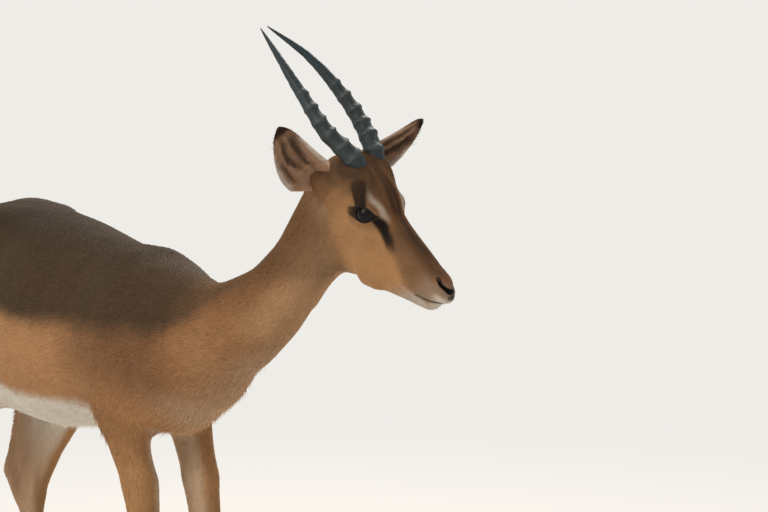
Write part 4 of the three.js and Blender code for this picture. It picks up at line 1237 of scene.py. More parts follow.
def bare_at(points, ear):
    """1 on bare wet skin: nose pad, nostrils and the lids' edges."""
    f = both_sides(to_head(points))
    edge = lid_measure(f)[0]
    lid = 0.35 * ramp(1.2, 1.08, edge) * (eye_distance(f) < 25)
    nose = 0.4 * ramp(6, 4, to_line(f, NOSTRIL)[0])
    pad = ramp(158, 164, f[:, 0]) * ramp(-24, -17, f[:, 2]) * ramp(12, 8, f[:, 1])
    mouth = 0.5 * ramp(2.6, 1.2, to_line(f * (1, 0, 1), MOUTH)[0]) * (f[:, 0] > 118)
    return np.clip(np.maximum.reduce([lid, nose, pad, mouth]), 0, 1) * (ear == 0)


bare = bare_at(skin_points, ear_of)
store(skin_mesh, "bare", "FLOAT", bare)
finished("skin", skin_mesh, SKIN_LOOK, "fawn_coat", *FLESH, "ear_left", "ear_right")
print("skin made, with", int((bare > 0.15).sum()), "points of bare skin")

# %% [markdown]
# An eyeball is a sphere with a slightly fuller cornea. Antelope have a dark brown iris and a wide
# level pupil, and under the lids little else shows. Its own map gives the place on the iris.

# %% Eyes
EYE_ROWS, EYE_COLUMNS = 44, 64


def eye_points(side):
    along, up, out = eye_axes(side)
    polar = np.linspace(0.02, np.pi - 0.02, EYE_ROWS)[:, None]
    turn_ = np.arange(EYE_COLUMNS) / EYE_COLUMNS * 2 * np.pi
    radius = EYE_RADIUS + 0.9 * np.exp(-(polar / 0.55) ** 2)
    ring = np.cos(turn_)[..., None] * along + np.sin(turn_)[..., None] * up * side
    ball_ = np.cos(polar)[..., None] * out + np.sin(polar)[..., None] * ring
    return from_head(capped(radius[..., None] * ball_ + (0, EYE_SPREAD * side, 0)))


def eye_material():
    material, tree, shader = new_material("eye")
    place = node(tree, "ShaderNodeUVMap", uv_map="iris")
    wide = node(tree, "ShaderNodeVectorMath", [(place.outputs[0], 0)], operation="MULTIPLY")
    wide.inputs[1].default_value = (0.42, 1.15, 1)
    distance = node(tree, "ShaderNodeVectorMath", [(wide.outputs[0], 0)], operation="LENGTH")
    pupil = ranged(tree, distance.outputs["Value"], (0.2, 0.3))
    away = node(tree, "ShaderNodeVectorMath", [(place.outputs[0], 0)], operation="LENGTH")
    rim = ranged(tree, away.outputs["Value"], (0.62, 0.82))
    rays = node(tree, "ShaderNodeTexNoise", [(place.outputs[0], "Vector")], Scale=9.0, Detail=4.0)
    iris = colour_mix(tree, rays.outputs["Fac"], (0.005, 0.0035, 0.003), (0.014, 0.008, 0.005))
    with_pupil = colour_mix(tree, pupil, (0.004, 0.005, 0.008), iris)
    whole = colour_mix(tree, rim, with_pupil, (0.008, 0.006, 0.005))
    tree.links.new(whole, shader.inputs["Base Color"])
    set_inputs(shader, Roughness=0.05, IOR=1.34, Specular_IOR_Level=0.3)
    return material


EYE_LOOK = eye_material()
for name, side in SIDES.items():
    points = eye_points(side)
    mesh = to_mesh(f"eyeball_{name}", points, loft_faces(EYE_ROWS, EYE_COLUMNS))
    along, up, out = eye_axes(side)
    v = (to_head(points) - (0, EYE_SPREAD * side, 0)) / EYE_RADIUS
    place = np.stack([v @ along, v @ up], 1)
    uv = mesh.uv_layers.new(name="iris")
    corners = np.empty(len(mesh.loops), int)
    mesh.loops.foreach_get("vertex_index", corners)
    uv.data.foreach_set("uv", place[corners].ravel())
    finished(f"eyeball_{name}", mesh, EYE_LOOK, "eye", f"eye_{name}")
print("eyeballs made, radius", round(EYE_RADIUS, 1), "mm")

# %% [markdown]
# The lids end in a bare black rim that lies on the eyeball. It is a thin tube drawn round the same
# opening as the skin's, with the fleshy corner towards the nose.

# %% Rims of the lids
RIM_TURNS, RIM_SIDES, RIM_RADIUS = 72, 10, 1.0


def tube_points(path, radii, sides):
    """Rings of points round a closed path, kept square to it."""
    tangent = unit(np.roll(path, -1, 0) - np.roll(path, 1, 0))
    side_ = unit(np.cross(tangent, path - path.mean(0) + 1e-6))
    up = np.cross(tangent, side_)
    angle = np.arange(sides) / sides * 2 * np.pi
    ring = np.cos(angle)[:, None] * side_[:, None] + np.sin(angle)[:, None] * up[:, None]
    return path[:, None] + radii[:, None, None] * ring


def ring_faces(rings, sides):
    """Quads between rings of points, the last joined to the first."""
    r, s = np.meshgrid(np.arange(rings), np.arange(sides), indexing="ij")
    a, b = r * sides + s, r * sides + (s + 1) % sides
    c, d = (r + 1) % rings * sides + (s + 1) % sides, (r + 1) % rings * sides + s
    return np.stack([a, b, c, d], -1).reshape(-1, 4).tolist()


def rim_material():
    material, tree, shader, grain = grained("lid rim", (0.008, 0.006, 0.0055), 12.0, 0.9, 0.5,
                                            Roughness=0.42, Specular_IOR_Level=0.2)
    bumped(tree, shader, grain.outputs["Height"], 0.2)
    return material


def outward(mesh):
    """Turns the faces of a closed shell outwards."""
    work = bmesh.new()
    work.from_mesh(mesh)
    bmesh.ops.recalc_face_normals(work, faces=work.faces)
    work.to_mesh(mesh)
    work.free()


def over_eyeball(side, a, b, clear):
    """Directions and places (head mm) over the eyeball, for places (a, b) in the lids' opening."""
    along, up, out = eye_axes(side)
    height = np.sqrt(np.maximum(EYE_RADIUS**2 - a**2 - b**2, 4))
    way = unit(a[:, None] * along + b[:, None] * up + height[:, None] * out)
    return way, way * (EYE_RADIUS + clear) + (0, EYE_SPREAD * side, 0)


RIM_LOOK = rim_material()
for name, side in SIDES.items():
    a, b = lid_edge(np.arange(RIM_TURNS) / RIM_TURNS * 2 * np.pi)
    path = over_eyeball(side, a, b, 0.75)[1]
    radii = RIM_RADIUS * (1 + 0.5 * np.exp(-(a - LID_FRONT) ** 2 / 8))
    points = from_head(tube_points(path, radii, RIM_SIDES).reshape(-1, 3))
    mesh = to_mesh(f"lid_rim_{name}", points, ring_faces(RIM_TURNS, RIM_SIDES))
    outward(mesh)
    finished(f"lid_rim_{name}", mesh, RIM_LOOK, "eye")
print("rims of the lids made,", len(mesh.polygons), "faces each")

# %% [markdown]
# A horn is a sheath that grows in yearly rings over a bony core. It follows a rule, a radius along
# a line, so Geometry Nodes make it: the line is resampled, its radius is a taper with rings over
# the lower part, and a round profile is swept along it. Both horns use one tree.

# %% Horn tree
HORN_BASE_RADIUS, HORN_TIP_RADIUS, HORN_RING_HEIGHT = 15.0, 0.9, 0.45    # mm
HORN_RINGS, HORN_RINGED = 8, 0.64      # rings, and the part of the length that carries them
HORN_STEPS, HORN_SIDES = 300, 44       # rows of faces along a horn and round it


def geometry_tree(name, sizes):
    """Geometry tree with named sizes (name, value) and a material, and its ends."""
    inputs = [("Geometry", "Geometry", None), *((label, "Float", value) for label, value in sizes),
              ("Look", "Material", None)]
    return new_group(name, inputs, [("Geometry", "Geometry")], "GeometryNodeTree")


def end_tree(tree, geometry, given, out):
    """Makes the instances real and gives the result its material."""
    real = node(tree, "GeometryNodeRealizeInstances", [(geometry, 0)])
    look = node(tree, "GeometryNodeSetMaterial",
                [(real.outputs[0], "Geometry"), (given.outputs["Look"], "Material")])
    tree.links.new(look.outputs[0], out.inputs[0])
    return tree


def horn_tree():
    tree, given, out = geometry_tree(
        "ringed horn", [("Base Radius", HORN_BASE_RADIUS * MM), ("Tip Radius", HORN_TIP_RADIUS * MM),
                        ("Rings", HORN_RINGS), ("Ring Height", HORN_RING_HEIGHT * MM),
                        ("Ringed Part", HORN_RINGED)])
    base, tip, rings, tall, ringed = (given.outputs[label] for label in
                                      ("Base Radius", "Tip Radius", "Rings", "Ring Height", "Ringed Part"))

    def do(operation, *values):
        return maths(tree, operation, *values)

    line = node(tree, "GeometryNodeResampleCurve", [(given.outputs["Geometry"], "Curve")], Count=HORN_STEPS)
    u = node(tree, "GeometryNodeSplineParameter").outputs["Factor"]
    left = do("SUBTRACT", 1.0, u)
    taper = do("ADD", do("MULTIPLY", do("POWER", left, 0.75), base), tip)
    turned = do("MULTIPLY", do("DIVIDE", u, ringed), rings)
    wave = do("COSINE", do("MULTIPLY", turned, 2 * math.pi))
    crest = do("POWER", do("MULTIPLY", do("ADD", wave, 1.0), 0.5), 1.6)
    fade = node(tree, "ShaderNodeMapRange",
                [(u, "Value"), (ringed, "From Min"), (do("ADD", ringed, -0.16), "From Max")],
                interpolation_type="SMOOTHSTEP").outputs[0]
    height = do("MULTIPLY", do("MULTIPLY", crest, fade), tall)
    height = do("MULTIPLY", do("MULTIPLY", height, 1.9), do("POWER", left, 0.5))
    radius = do("SUBTRACT", do("ADD", taper, height), tall)
    keep = node(tree, "GeometryNodeStoreNamedAttribute", [(line.outputs[0], "Geometry"), (u, "Value")],
                Name="up_horn")
    sized = node(tree, "GeometryNodeSetCurveRadius", [(keep.outputs[0], "Curve"), (radius, "Radius")])
    ring = node(tree, "GeometryNodeCurvePrimitiveCircle", Resolution=HORN_SIDES)
    sweep = node(tree, "GeometryNodeCurveToMesh",
                 [(sized.outputs[0], "Curve"), (ring.outputs[0], "Profile Curve"), (radius, "Scale")],
                 Fill_Caps=True)
    return end_tree(tree, sweep.outputs[0], given, out)


def set_input(modifier, label, value):
    """Sets a modifier's input by its socket's identifier."""
    for item in modifier.node_group.interface.items_tree:
        if item.item_type == "SOCKET" and item.in_out == "INPUT" and item.name == label:
            modifier[item.identifier] = value


def made_mesh(piece, tree, **inputs):
    """Runs a geometry tree on a piece and returns the result as a plain mesh."""
    run = piece.modifiers.new("make", "NODES")
    run.node_group = tree
    for label, value in inputs.items():
        set_input(run, label.replace("_", " "), value)
    return plain_mesh(piece)


FINE_STEPS = 400                        # places at which the curve is first worked out


def smooth_line(knots, count):
    """Catmull-Rom curve through the knots, at even steps."""
    knots = np.asarray(knots, float)
    padded = np.vstack([2 * knots[0] - knots[1], knots, 2 * knots[-1] - knots[-2]])
    steps = np.linalg.norm(np.diff(padded, axis=0), axis=1) ** 0.5
    times = np.concatenate([[0], np.cumsum(steps)])
    t = np.linspace(times[1], times[-2], FINE_STEPS)
    out = np.empty((FINE_STEPS, 3))
    for n, s in enumerate(t):
        i = min(max(np.searchsorted(times, s) - 1, 1), len(times) - 3)
        p, q = padded[i - 1:i + 3], times[i - 1:i + 3]
        a = [p[k] + (p[k + 1] - p[k]) * (s - q[k]) / (q[k + 1] - q[k]) for k in range(3)]
        b = [a[k] + (a[k + 1] - a[k]) * (s - q[k]) / (q[k + 2] - q[k]) for k in range(2)]
        out[n] = b[0] + (b[1] - b[0]) * (s - q[1]) / (q[2] - q[1])
    run = np.concatenate([[0], np.cumsum(np.linalg.norm(np.diff(out, axis=0), axis=1))])
    even = np.linspace(0, run[-1], count)
    return np.stack([np.interp(even, run, out[:, k]) for k in range(3)], 1)


def line_object(name, points):
    """A poly curve through body points."""
    curve = bpy.data.curves.new(name, "CURVE")
    curve.dimensions = "3D"
    spline = curve.splines.new("POLY")
    spline.points.add(len(points) - 1)
    places = np.hstack([points * MM + foot, np.ones((len(points), 1))])
    spline.points.foreach_set("co", places.ravel())
    return to_object(name, curve)


# %% Horns
def horn_material():
    material, tree, shader = new_material("horn")
    place = node(tree, "ShaderNodeAttribute", attribute_name="grown")
    lines = placed(tree, GROWTH_LINES, Lines=2.2, Streaks=6.0,
                   Dark=(0.012, 0.012, 0.011, 1), Light=(0.026, 0.050, 0.053, 1))
    tree.links.new(place.outputs["Vector"], lines.inputs["Vector"])
    up = node(tree, "ShaderNodeAttribute", attribute_name="up_horn").outputs["Fac"]
    worn = colour_mix(tree, ranged(tree, up, (0.45, 0.8)), lines.outputs["Colour"], (0.013, 0.027, 0.030))
    crest = node(tree, "ShaderNodeAttribute", attribute_name="crest").outputs["Fac"]
    # Painted highlight: the ring crests are lighter grey.
    crest_highlight = colour_mix(tree, crest, worn, (0.085, 0.095, 0.09))
    tree.links.new(crest_highlight, shader.inputs["Base Color"])
    tree.links.new(lines.outputs["Roughness"], shader.inputs["Roughness"])
    bumped(tree, shader, lines.outputs["Height"], 0.4, 0.4)
    return material


HORN_LOOK = horn_material()
HORN_TREE = horn_tree()
HORN_ROUGH, CREST_HEIGHT = 0.35, 2.5   # unevenness of the horn and height of a ring's crest, mm
CREST_STEEP, CREST_GENTLE = 0.10, 0.21  # widths of a crest's two slopes, in rings
for name, side in SIDES.items():
    line = smooth_line(from_head(np.array(HORN_LINE) * (1, side, 1)), 160)
    mesh = made_mesh(line_object(f"horn_line_{name}", line), HORN_TREE, Look=HORN_LOOK)
    points, normals = points_of(mesh), normals_of(mesh)
    distance, u = to_line(points, line)
    ring = u / HORN_RINGED * HORN_RINGS + 0.12 * noise(points, 14, 11)
    slope = ring - np.floor(ring)
    crest = np.exp(-(np.minimum(slope, 1 - slope) / np.where(slope > 0.5, CREST_STEEP, CREST_GENTLE)) ** 2)
    crest *= ramp(HORN_RINGED + 0.02, HORN_RINGED - 0.12, u) * ramp(0.02, 0.08, u)
    facing = normals @ HEAD
    front = 0.1 + 0.9 * ramp(-0.5, 0.7, facing[:, 2] + 0.3 * facing[:, 0])
    rough = HORN_ROUGH * (noise(points, 4, 7) + noise(points, 13, 8)) * ramp(0.99, 0.7, u)
    set_points(mesh, points + normals * (rough + CREST_HEIGHT * crest * front * (1 - 0.4 * u))[:, None])
    # Stored for the painted highlight on the crests, strongest on their front faces.
    store(mesh, "crest", "FLOAT", 0.8 * (crest * front * (0.6 + 0.4 * noise(points, 6, 9))))
    spin = np.arctan2(normals[:, 1], normals[:, 0])
    store(mesh, "grown", "FLOAT_VECTOR", np.stack([np.cos(spin), np.sin(spin), 10 * u], 1))
    mesh.polygons.foreach_set("use_smooth", [True] * len(mesh.polygons))
    outward(mesh)
    horn = finished(f"ringed_horn_{name}", mesh, None, "horn", f"horn_{name}")
    length = np.linalg.norm(np.diff(line, axis=0), axis=1).sum()
    print(horn.name, len(mesh.polygons), "faces, length", round(float(length)), "mm")

# %% [markdown]
# A claw's wall is a tapered shell with a flat sole, blunt at the heel and pointed at the toe. Its
# size and place are those of the CAD claw; only the outline is rounder and the coronet swells.

# %% Hooves
CLAW_SIDES, CLAW_LEVELS = 48, 22
CLAW_LEAN = 3.0                         # lean of the top towards the other claw, mm
CLAW_LENGTHS = [(0, 0.95), (0.07, 0.98), (0.5, 0.79), (0.85, 0.62), (1, 0.46)]     # height, share
CLAW_WIDTHS = [(0, 0.9), (0.07, 0.98), (0.5, 0.92), (0.85, 0.78), (1, 0.55)]
CLAW_SHIFTS = [(0, 0), (0.07, 0), (0.5, -5), (1, -11)]                             # height, mm back
HOOF_NODES = sorted(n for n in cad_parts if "hoof" in n)


def claw_points(node_name):
    """Points of one claw in body mm, set in the box of its CAD node."""
    low, high = ((np.array(c) - foot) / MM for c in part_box(node_name))
    length, width, height = high - low
    middle = (low + high) / 2
    outer = 1 if ("left" in node_name) == ("outer" in node_name) else -1
    level = np.linspace(0, 1, CLAW_LEVELS)[:, None]
    angle = np.arange(CLAW_SIDES) / CLAW_SIDES * 2 * np.pi
    long_, wide, shift = (np.interp(level, *zip(*knots))
                          for knots in (CLAW_LENGTHS, CLAW_WIDTHS, CLAW_SHIFTS))
    grow_line = 0.22 * np.sin(level * 60) * ramp(0, 0.1, level)
    c, s = np.cos(angle), np.sin(angle)
    pointed = np.where(c > 0, 1 - 0.45 * c**3, 1)
    inner = np.where(s * outer < 0, 0.92, 1)
    lean = -outer * CLAW_LEAN * ramp(0.2, 1.0, level)
    x = middle[0] + shift + c * (length / 2 * long_ + grow_line)
    y = middle[1] + lean + s * pointed * inner * (width / 2 * 1.08 * wide + grow_line)
    z = low[2] + level * height + 0 * c
    z = z + ramp(0.8, 1.0, level) * 2.2 * (c * 0.6 - 0.6)
    return capped(np.stack([x, y, z], -1))


def hoof_material():
    material, tree, shader = new_material("hoof")
    place = node(tree, "ShaderNodeTexCoord").outputs["Object"]
    lines = placed(tree, GROWTH_LINES, Lines=45.0, Streaks=260.0,
                   Dark=(0.014, 0.012, 0.011, 1), Light=(0.07, 0.062, 0.055, 1))
    tree.links.new(place, lines.inputs["Vector"])
    tree.links.new(lines.outputs["Colour"], shader.inputs["Base Color"])
    tree.links.new(lines.outputs["Roughness"], shader.inputs["Roughness"])
    bumped(tree, shader, lines.outputs["Height"], 0.4, 0.6)
    return material


HOOF_LOOK = hoof_material()
for node_name in HOOF_NODES:
    mesh = to_mesh(f"claw_{node_name}", claw_points(node_name), loft_faces(CLAW_LEVELS, CLAW_SIDES))
    outward(mesh)
    finished(f"claw_{node_name}", mesh, HOOF_LOOK, "hoof", node_name)
print(len(HOOF_NODES), "claws")

# %% [markdown]
# The coat is solid tufts laid over the skin. One tuft stands for a lock of hairs: a closed wedge of
# four faces with a wide root, a ridge and a fine tip that lifts a little. Roots are spread evenly
# over the skin by area, each tuft takes the colour of its place, and its shading is rounded like
# the skin's, so neighbours melt into one coat and only tips and edges break the outline.

# %% Roots
skin_triangles = []
for p in skin_mesh.polygons:
    v = list(p.vertices)
    skin_triangles += [(v[0], v[i], v[i + 1]) for i in range(1, len(v) - 1)]
skin_triangles = np.array(skin_triangles)
a, b, c = (skin_points[skin_triangles[:, i]] for i in range(3))
skin_areas = np.linalg.norm(np.cross(b - a, c - a), axis=1) / 2
rng = np.random.default_rng(11)


def roots(weight, count):
    """Roots spread evenly by area times a weight per skin point, as triangles and shares."""
    share = skin_areas * weight[skin_triangles].mean(1)
    run = np.cumsum(share)
    picks = (np.arange(count) + rng.random(count)) / count * run[-1]
    chosen = np.minimum(np.searchsorted(run, picks), len(run) - 1)
    u, v = rng.random(count), rng.random(count)
    over = u + v > 1
    u[over], v[over] = 1 - u[over], 1 - v[over]
    return skin_triangles[chosen], np.stack([1 - u - v, u, v], 1)


def at_roots(values, corners, shares):
    """A value of the skin's points, interpolated at the roots."""
    return (values[corners] * shares.reshape(*shares.shape, *[1] * (values.ndim - 1))).sum(1)


def rooted(weight, count):
    """Roots on the skin, with the place and normal of each."""
    corners, shares = roots(weight, count)
    points = at_roots(skin_points, corners, shares)
    return corners, shares, points, unit(at_roots(skin_normals, corners, shares))


def rooted_on_body(weight, count):
    """Places and normals of roots on open skin, their place on the lines, and the hair's lie."""
    _, _, points, normals = rooted(weight * open_skin, count)
    found = nearest_on_lines(points)
    weights = part_weights(found)
    return points, normals, found, weights, lie_of(points, normals, found, weights)


def unwrap(points, found, weights, names):
    """A map of the roots: round each part's line and along it, the parts side by side."""
    which = np.argmax(weights[:, [PARTS.index(n) for n in names]], axis=1)
    u, v = np.zeros(len(points)), np.zeros(len(points))
    for i, name in enumerate(names):
        on = which == i
        if not on.any():
            continue
        _, along, tangent, foot_point = found[name]
        arm = (points - foot_point)[on]
        first = unit(np.cross(tangent[on], (0.05, 1, 0.03)))
        second = np.cross(tangent[on], first)
        angle = np.arctan2((arm * second).sum(1), (arm * first).sum(1))
        u[on] = (i + 0.02 + 0.96 * (angle / (2 * np.pi) + 0.5)) / len(names)
        v[on] = 0.02 + 0.96 * along[on] / max(along[on].max(), 1)
    return np.stack([u, v], 1)


# %% Meshes of tufts
BAKE_PATCH = 0.003                      # size of a tuft's patch on the map


def solid_mesh(name, points, faces, colours, places, normals):
    """Triangle mesh with a painted coat, a map and rounded shading, made from arrays."""
    mesh = bpy.data.meshes.new(name)
    mesh.vertices.add(len(points))
    mesh.vertices.foreach_set("co", (points * MM + foot).astype(np.float32).ravel())
    mesh.loops.add(faces.size)
    mesh.loops.foreach_set("vertex_index", faces.ravel().astype(np.int32))
    mesh.polygons.add(len(faces))
    mesh.polygons.foreach_set("loop_start", np.arange(0, faces.size, 3, dtype=np.int32))
    mesh.update(calc_edges=True)
    mesh.polygons.foreach_set("use_smooth", np.ones(len(faces), bool))
    paint(mesh, "coat", colours)
    layer = mesh.uv_layers.new(name="OFBake")
    layer.data.foreach_set("uv", places[faces.ravel()].astype(np.float32).ravel())
    mesh.normals_split_custom_set_from_vertices(normals)
    return mesh


ROOT_DEPTH = 0.35                       # a tuft's root lies this far in the skin, mm
WEDGE = np.array([(0, 3, 2), (1, 2, 3), (0, 2, 1), (0, 1, 3)])     # left, right, ridge, tip
WEDGE_MAP = np.array([(-0.5, -0.5), (0.5, -0.5), (0, 0), (0, 0.5)]) * BAKE_PATCH


def wedges(points, normals, lie, length, width, lift, colours, places):
    """Arrays of one wedge per root."""
    across = np.cross(normals, lie)
    length, width, lift = length[:, None], width[:, None], lift[:, None]
    sunk = points - ROOT_DEPTH * normals
    corners = np.stack([sunk - across * width / 2, sunk + across * width / 2,
                        points + lie * length * 0.42 + normals * lift * 0.75,
                        points + lie * length + normals * lift], 1)
    shading = np.stack([normals - 0.35 * across, normals + 0.35 * across, normals, normals + 0.25 * lie], 1)
    shade = np.array([0.86, 0.86, 1.0, 1.10])[None, :, None]
    faces = (np.arange(len(points))[:, None, None] * 4 + WEDGE).reshape(-1, 3)
    return (corners.reshape(-1, 3), faces, (colours[:, None] * shade).reshape(-1, 3),
            (places[:, None] + WEDGE_MAP).reshape(-1, 2), unit(shading.reshape(-1, 3)))


def coat_piece(name, arrays, slot):
    finished(name, solid_mesh(name, *arrays), HAIR_LOOK, slot)
    print(name, len(arrays[1]), "triangles")


# %% [markdown]
# Each region has its own count and its own length and width of tuft. Lengths shorten towards the
# nose and the feet. Nothing grows on the lids' edges, the nose pad, in the nostrils or in the mouth.

# %% Where hair grows
skin_part = {name: skin_weights[:, i] for i, name in enumerate(PARTS)}
skin_folded = both_sides(to_head(skin_points))
skin_edge = lid_measure(skin_folded)[0]
BARE = 0.15                             # bareness above which nothing grows
open_skin = np.where(bare > BARE, 0.0, 1.0) * (ear_of == 0)
open_skin *= ~((skin_edge < 1.2) & (eye_distance(skin_folded) < 26))
open_skin *= horn_seat(skin_folded)[1] > 14
LEGS = [n for n in PARTS if "leg" in n]
all_legs = sum(skin_part[n] for n in LEGS)
UPPER_LEG = 300                         # height between the short coat below and the longer above, mm
is_leg = all_legs > 0.5
is_head = skin_part["head"] > 0.5
height_of = skin_points[:, 2]


def hair_size(points, weights):
    """Length, width and lift of the tufts in millimetres at each root."""
    part = {name: weights[:, i] for i, name in enumerate(PARTS)}
    legs = sum(part[n] for n in LEGS)
    f = both_sides(to_head(points))
    face = np.interp(f[:, 0], [-100, -40, 40, 110, 160], [11, 6.5, 4.6, 3.2, 2.0])
    face *= np.interp(eye_distance(f), [18, 24, 40], [0.35, 0.55, 1])
    leg = np.interp(points[:, 2], [30, 120, 300, 520], [4.0, 4.2, 5.5, 10])
    length = part["head"] * face + legs * leg + (part["trunk"] + part["neck"] + part["tail"]) * 11.5
    return length, 0.30 + 0.125 * length, 0.25 + 0.115 * length


def grown(weight, count):
    """Everything the wedges need for one region."""
    points, normals, found, weights, lie = rooted_on_body(weight, count)
    swirl = 0.16 * noise(points, 35, 20) + 0.10 * noise(points, 9, 21) + 0.10 * rng.standard_normal(count)
    lie = unit(lie + swirl[:, None] * np.cross(normals, lie))
    length, width, lift = hair_size(points, weights)
    spread = rng.uniform(0.75, 1.25, (count, 3))
    patchy = 1 + 0.05 * noise(points, 18, 22) + 0.07 * rng.standard_normal(count)
    colours = coat_colour(points, normals, weights) * patchy[:, None]
    return (points, normals, lie, length * spread[:, 0], width * spread[:, 1], lift * spread[:, 2],
            colours, found, weights)


def grow_piece(name, weight, count, names, slot):
    """One piece of coat; names are the parts side by side on its map."""
    *shape, colours, found, weights = grown(weight, count)
    places = unwrap(shape[0], found, weights, names)
    coat_piece(name, wedges(*shape, colours, places), slot)


# %% Body coat
trunk_skin = (skin_part["trunk"] > 0.5) | (is_leg & (height_of > 500)) | (skin_part["tail"] > 0.5)
upper_back = trunk_skin & (height_of > 640)
for name, chosen, count in (
        ("coat_back", upper_back, 42000),
        ("coat_side_left", trunk_skin & ~upper_back & (skin_points[:, 1] > 0), 38000),
        ("coat_side_right", trunk_skin & ~upper_back & (skin_points[:, 1] <= 0), 38000)):
    grow_piece(name, chosen.astype(float), count, ["trunk", "tail", *LEGS], "saddle_coat")
grow_piece("coat_neck", ((skin_part["neck"] > 0.5) & ~trunk_skin).astype(float), 34000,
           ["neck", "trunk", "head"], "fawn_coat")
face_weight = is_head * np.interp(skin_folded[:, 0], [-80, 30, 150], [1, 1.7, 2.4])
grow_piece("coat_face", face_weight, 46000, ["head", "neck"], "face_coat")
for side in SIDES:
    names = [f"foreleg_{side}", f"hindleg_{side}"]
    mine = (sum(skin_part[n] for n in names) > 0.5) & (height_of <= 500)
    upper, lower = mine & (height_of > UPPER_LEG), mine & (height_of <= UPPER_LEG) & (height_of > 40)
    grow_piece(f"coat_upper_legs_{side}", upper.astype(float), 20000, names, "fawn_coat")
    grow_piece(f"coat_lower_legs_{side}", lower.astype(float), 17000, names, "leg_coat")

# %% [markdown]
# The ear's outside has short hair to the tip. The hollow has long thin pale hair along both rims
# that lies across it, and dark locks that fan out from the root.

# %% Ear coat
EAR_TUFTS = 10000


def ear_piece(side_name, side):
    """Coat of one ear; the very rim is left free, where a tuft would stand on edge."""
    weight = (ear_of == side) * np.where(facts_of[:, 2] > 0.5, 1.0, 0.9)
    inside_rim = np.abs(facts_of[:, 1]) < np.where(facts_of[:, 2] > 0.5, 0.97, 0.9)
    corners, shares, points, normals = rooted(weight * (facts_of[:, 0] > 0.02) * inside_rim, EAR_TUFTS)
    facts = at_roots(facts_of, corners, shares)
    hollow = facts[:, 2] > 0.5
    up_ear, across_ear = (axis @ HEAD.T for axis in ear_axes(side)[1:3])
    rim = ramp(0.6, 0.97, np.abs(facts[:, 1]))
    inwards = across_ear * (np.sign(facts[:, 1]) * rim * 0.6)[:, None]
    lie = np.where(hollow[:, None], up_ear * (1 - 0.45 * rim)[:, None] - inwards, up_ear)
    lie = lie + 0.2 * rng.standard_normal((len(points), 3)) + 0.3 * noise(points, 9, 30)[:, None] * across_ear
    lie = unit(lie - (lie * normals).sum(1, keepdims=True) * normals)
    inside = 6 + 9 * ramp(0.1, 0.45, facts[:, 0]) * ramp(1.0, 0.75, facts[:, 0])
    length = np.where(hollow, inside, 4.6) * rng.uniform(0.7, 1.25, len(points))
    length *= 1 - 0.45 * ramp(0.8, 1.0, facts[:, 0])
    width = np.where(hollow, 0.7, 1.0)
    lift = np.where(hollow, 1.1, 0.6) * rng.uniform(0.5, 1.6, len(points))
    # Outer tufts near the rim turn pale: partly the pale hair at the ear's edge, partly painted rim light.
    colours = mixed(ear_colour(points, facts), PALE, 0.6 * rim * (facts[:, 0] < 0.82) * ~hollow)
    colours = colours * (1 + 0.1 * rng.standard_normal(len(points)))[:, None]
    places = np.stack([(hollow * 1 + 0.03 + 0.94 * (facts[:, 1] + 1) / 2) / 2, 0.02 + 0.96 * facts[:, 0]], 1)
    coat_piece(f"coat_ear_{side_name}", wedges(points, normals, lie, length, width, lift, colours, places),
               "ear_coat")


for name, side in SIDES.items():
    ear_piece(name, side)

# %% [markdown]
# Long hair hangs clear of the skin, so it is drawn as thin three-sided strands of four joints that
# curve under their weight: the tail's switch, the fringe of the chest, belly and elbows, the black
# tufts behind the hind fetlocks, the dark collar round the horns and the pale tuft behind them.

# %% Long hair
STRAND_JOINTS = 4


def strands(points, normals, start, end, length, width, colours, tips, places):
    """Curved strands: they leave along start and bend to end."""
    n = len(points)
    path, here = [points - 0.5 * normals], points - 0.5 * normals
    step = (length / (STRAND_JOINTS - 1))[:, None]
    for k in range(1, STRAND_JOINTS):
        t = (k / (STRAND_JOINTS - 1)) ** 0.8
        here = here + unit(start * (1 - t) + end * t) * step
        path.append(here)
    path = np.stack(path, 1)
    first = unit(np.cross(end, normals + 0.01))
    second = unit(np.cross(end, first))
    girth = width[:, None] / 2 * np.linspace(1, 0.12, STRAND_JOINTS) ** 0.7
    rings, shading = [], []
    for k in range(3):
        angle = 2 * np.pi * k / 3
        away = np.cos(angle) * first + np.sin(angle) * second
        rings.append(path + away[:, None] * girth[..., None])
        shading.append(np.repeat((0.6 * away + 0.8 * normals)[:, None], STRAND_JOINTS, 1))
    corners = np.stack(rings, 2).reshape(n, -1, 3)
    sides = [(3 * j + k, 3 * j + (k + 1) % 3) for j in range(STRAND_JOINTS - 1) for k in range(3)]
    one = [(a, b, b + 3) for a, b in sides] + [(a, b + 3, a + 3) for a, b in sides]
    last = 3 * (STRAND_JOINTS - 1)
    one += [(0, 2, 1), (last, last + 1, last + 2)]
    faces = (np.arange(n)[:, None, None] * corners.shape[1] + np.array(one)).reshape(-1, 3)
    share = np.repeat(np.linspace(0, 1, STRAND_JOINTS), 3)[None, :, None]
    shade = (0.8 + 0.3 * share) * (colours[:, None] * (1 - share) + tips[:, None] * share)
    turn_ = np.tile(np.arange(3) * 2 * np.pi / 3, STRAND_JOINTS)
    reach = np.repeat(np.linspace(1, 0.4, STRAND_JOINTS), 3)
    spot = np.stack([np.cos(turn_) * reach, np.sin(turn_) * reach], 1) * BAKE_PATCH / 2
    spot = places[:, None] + spot         # a small patch of the map, round the root's place
    return (corners.reshape(-1, 3), faces, shade.reshape(-1, 3), spot.reshape(-1, 2),
            unit(np.stack(shading, 2).reshape(-1, 3)))


DOWN = np.array([0, 0, -1.0])


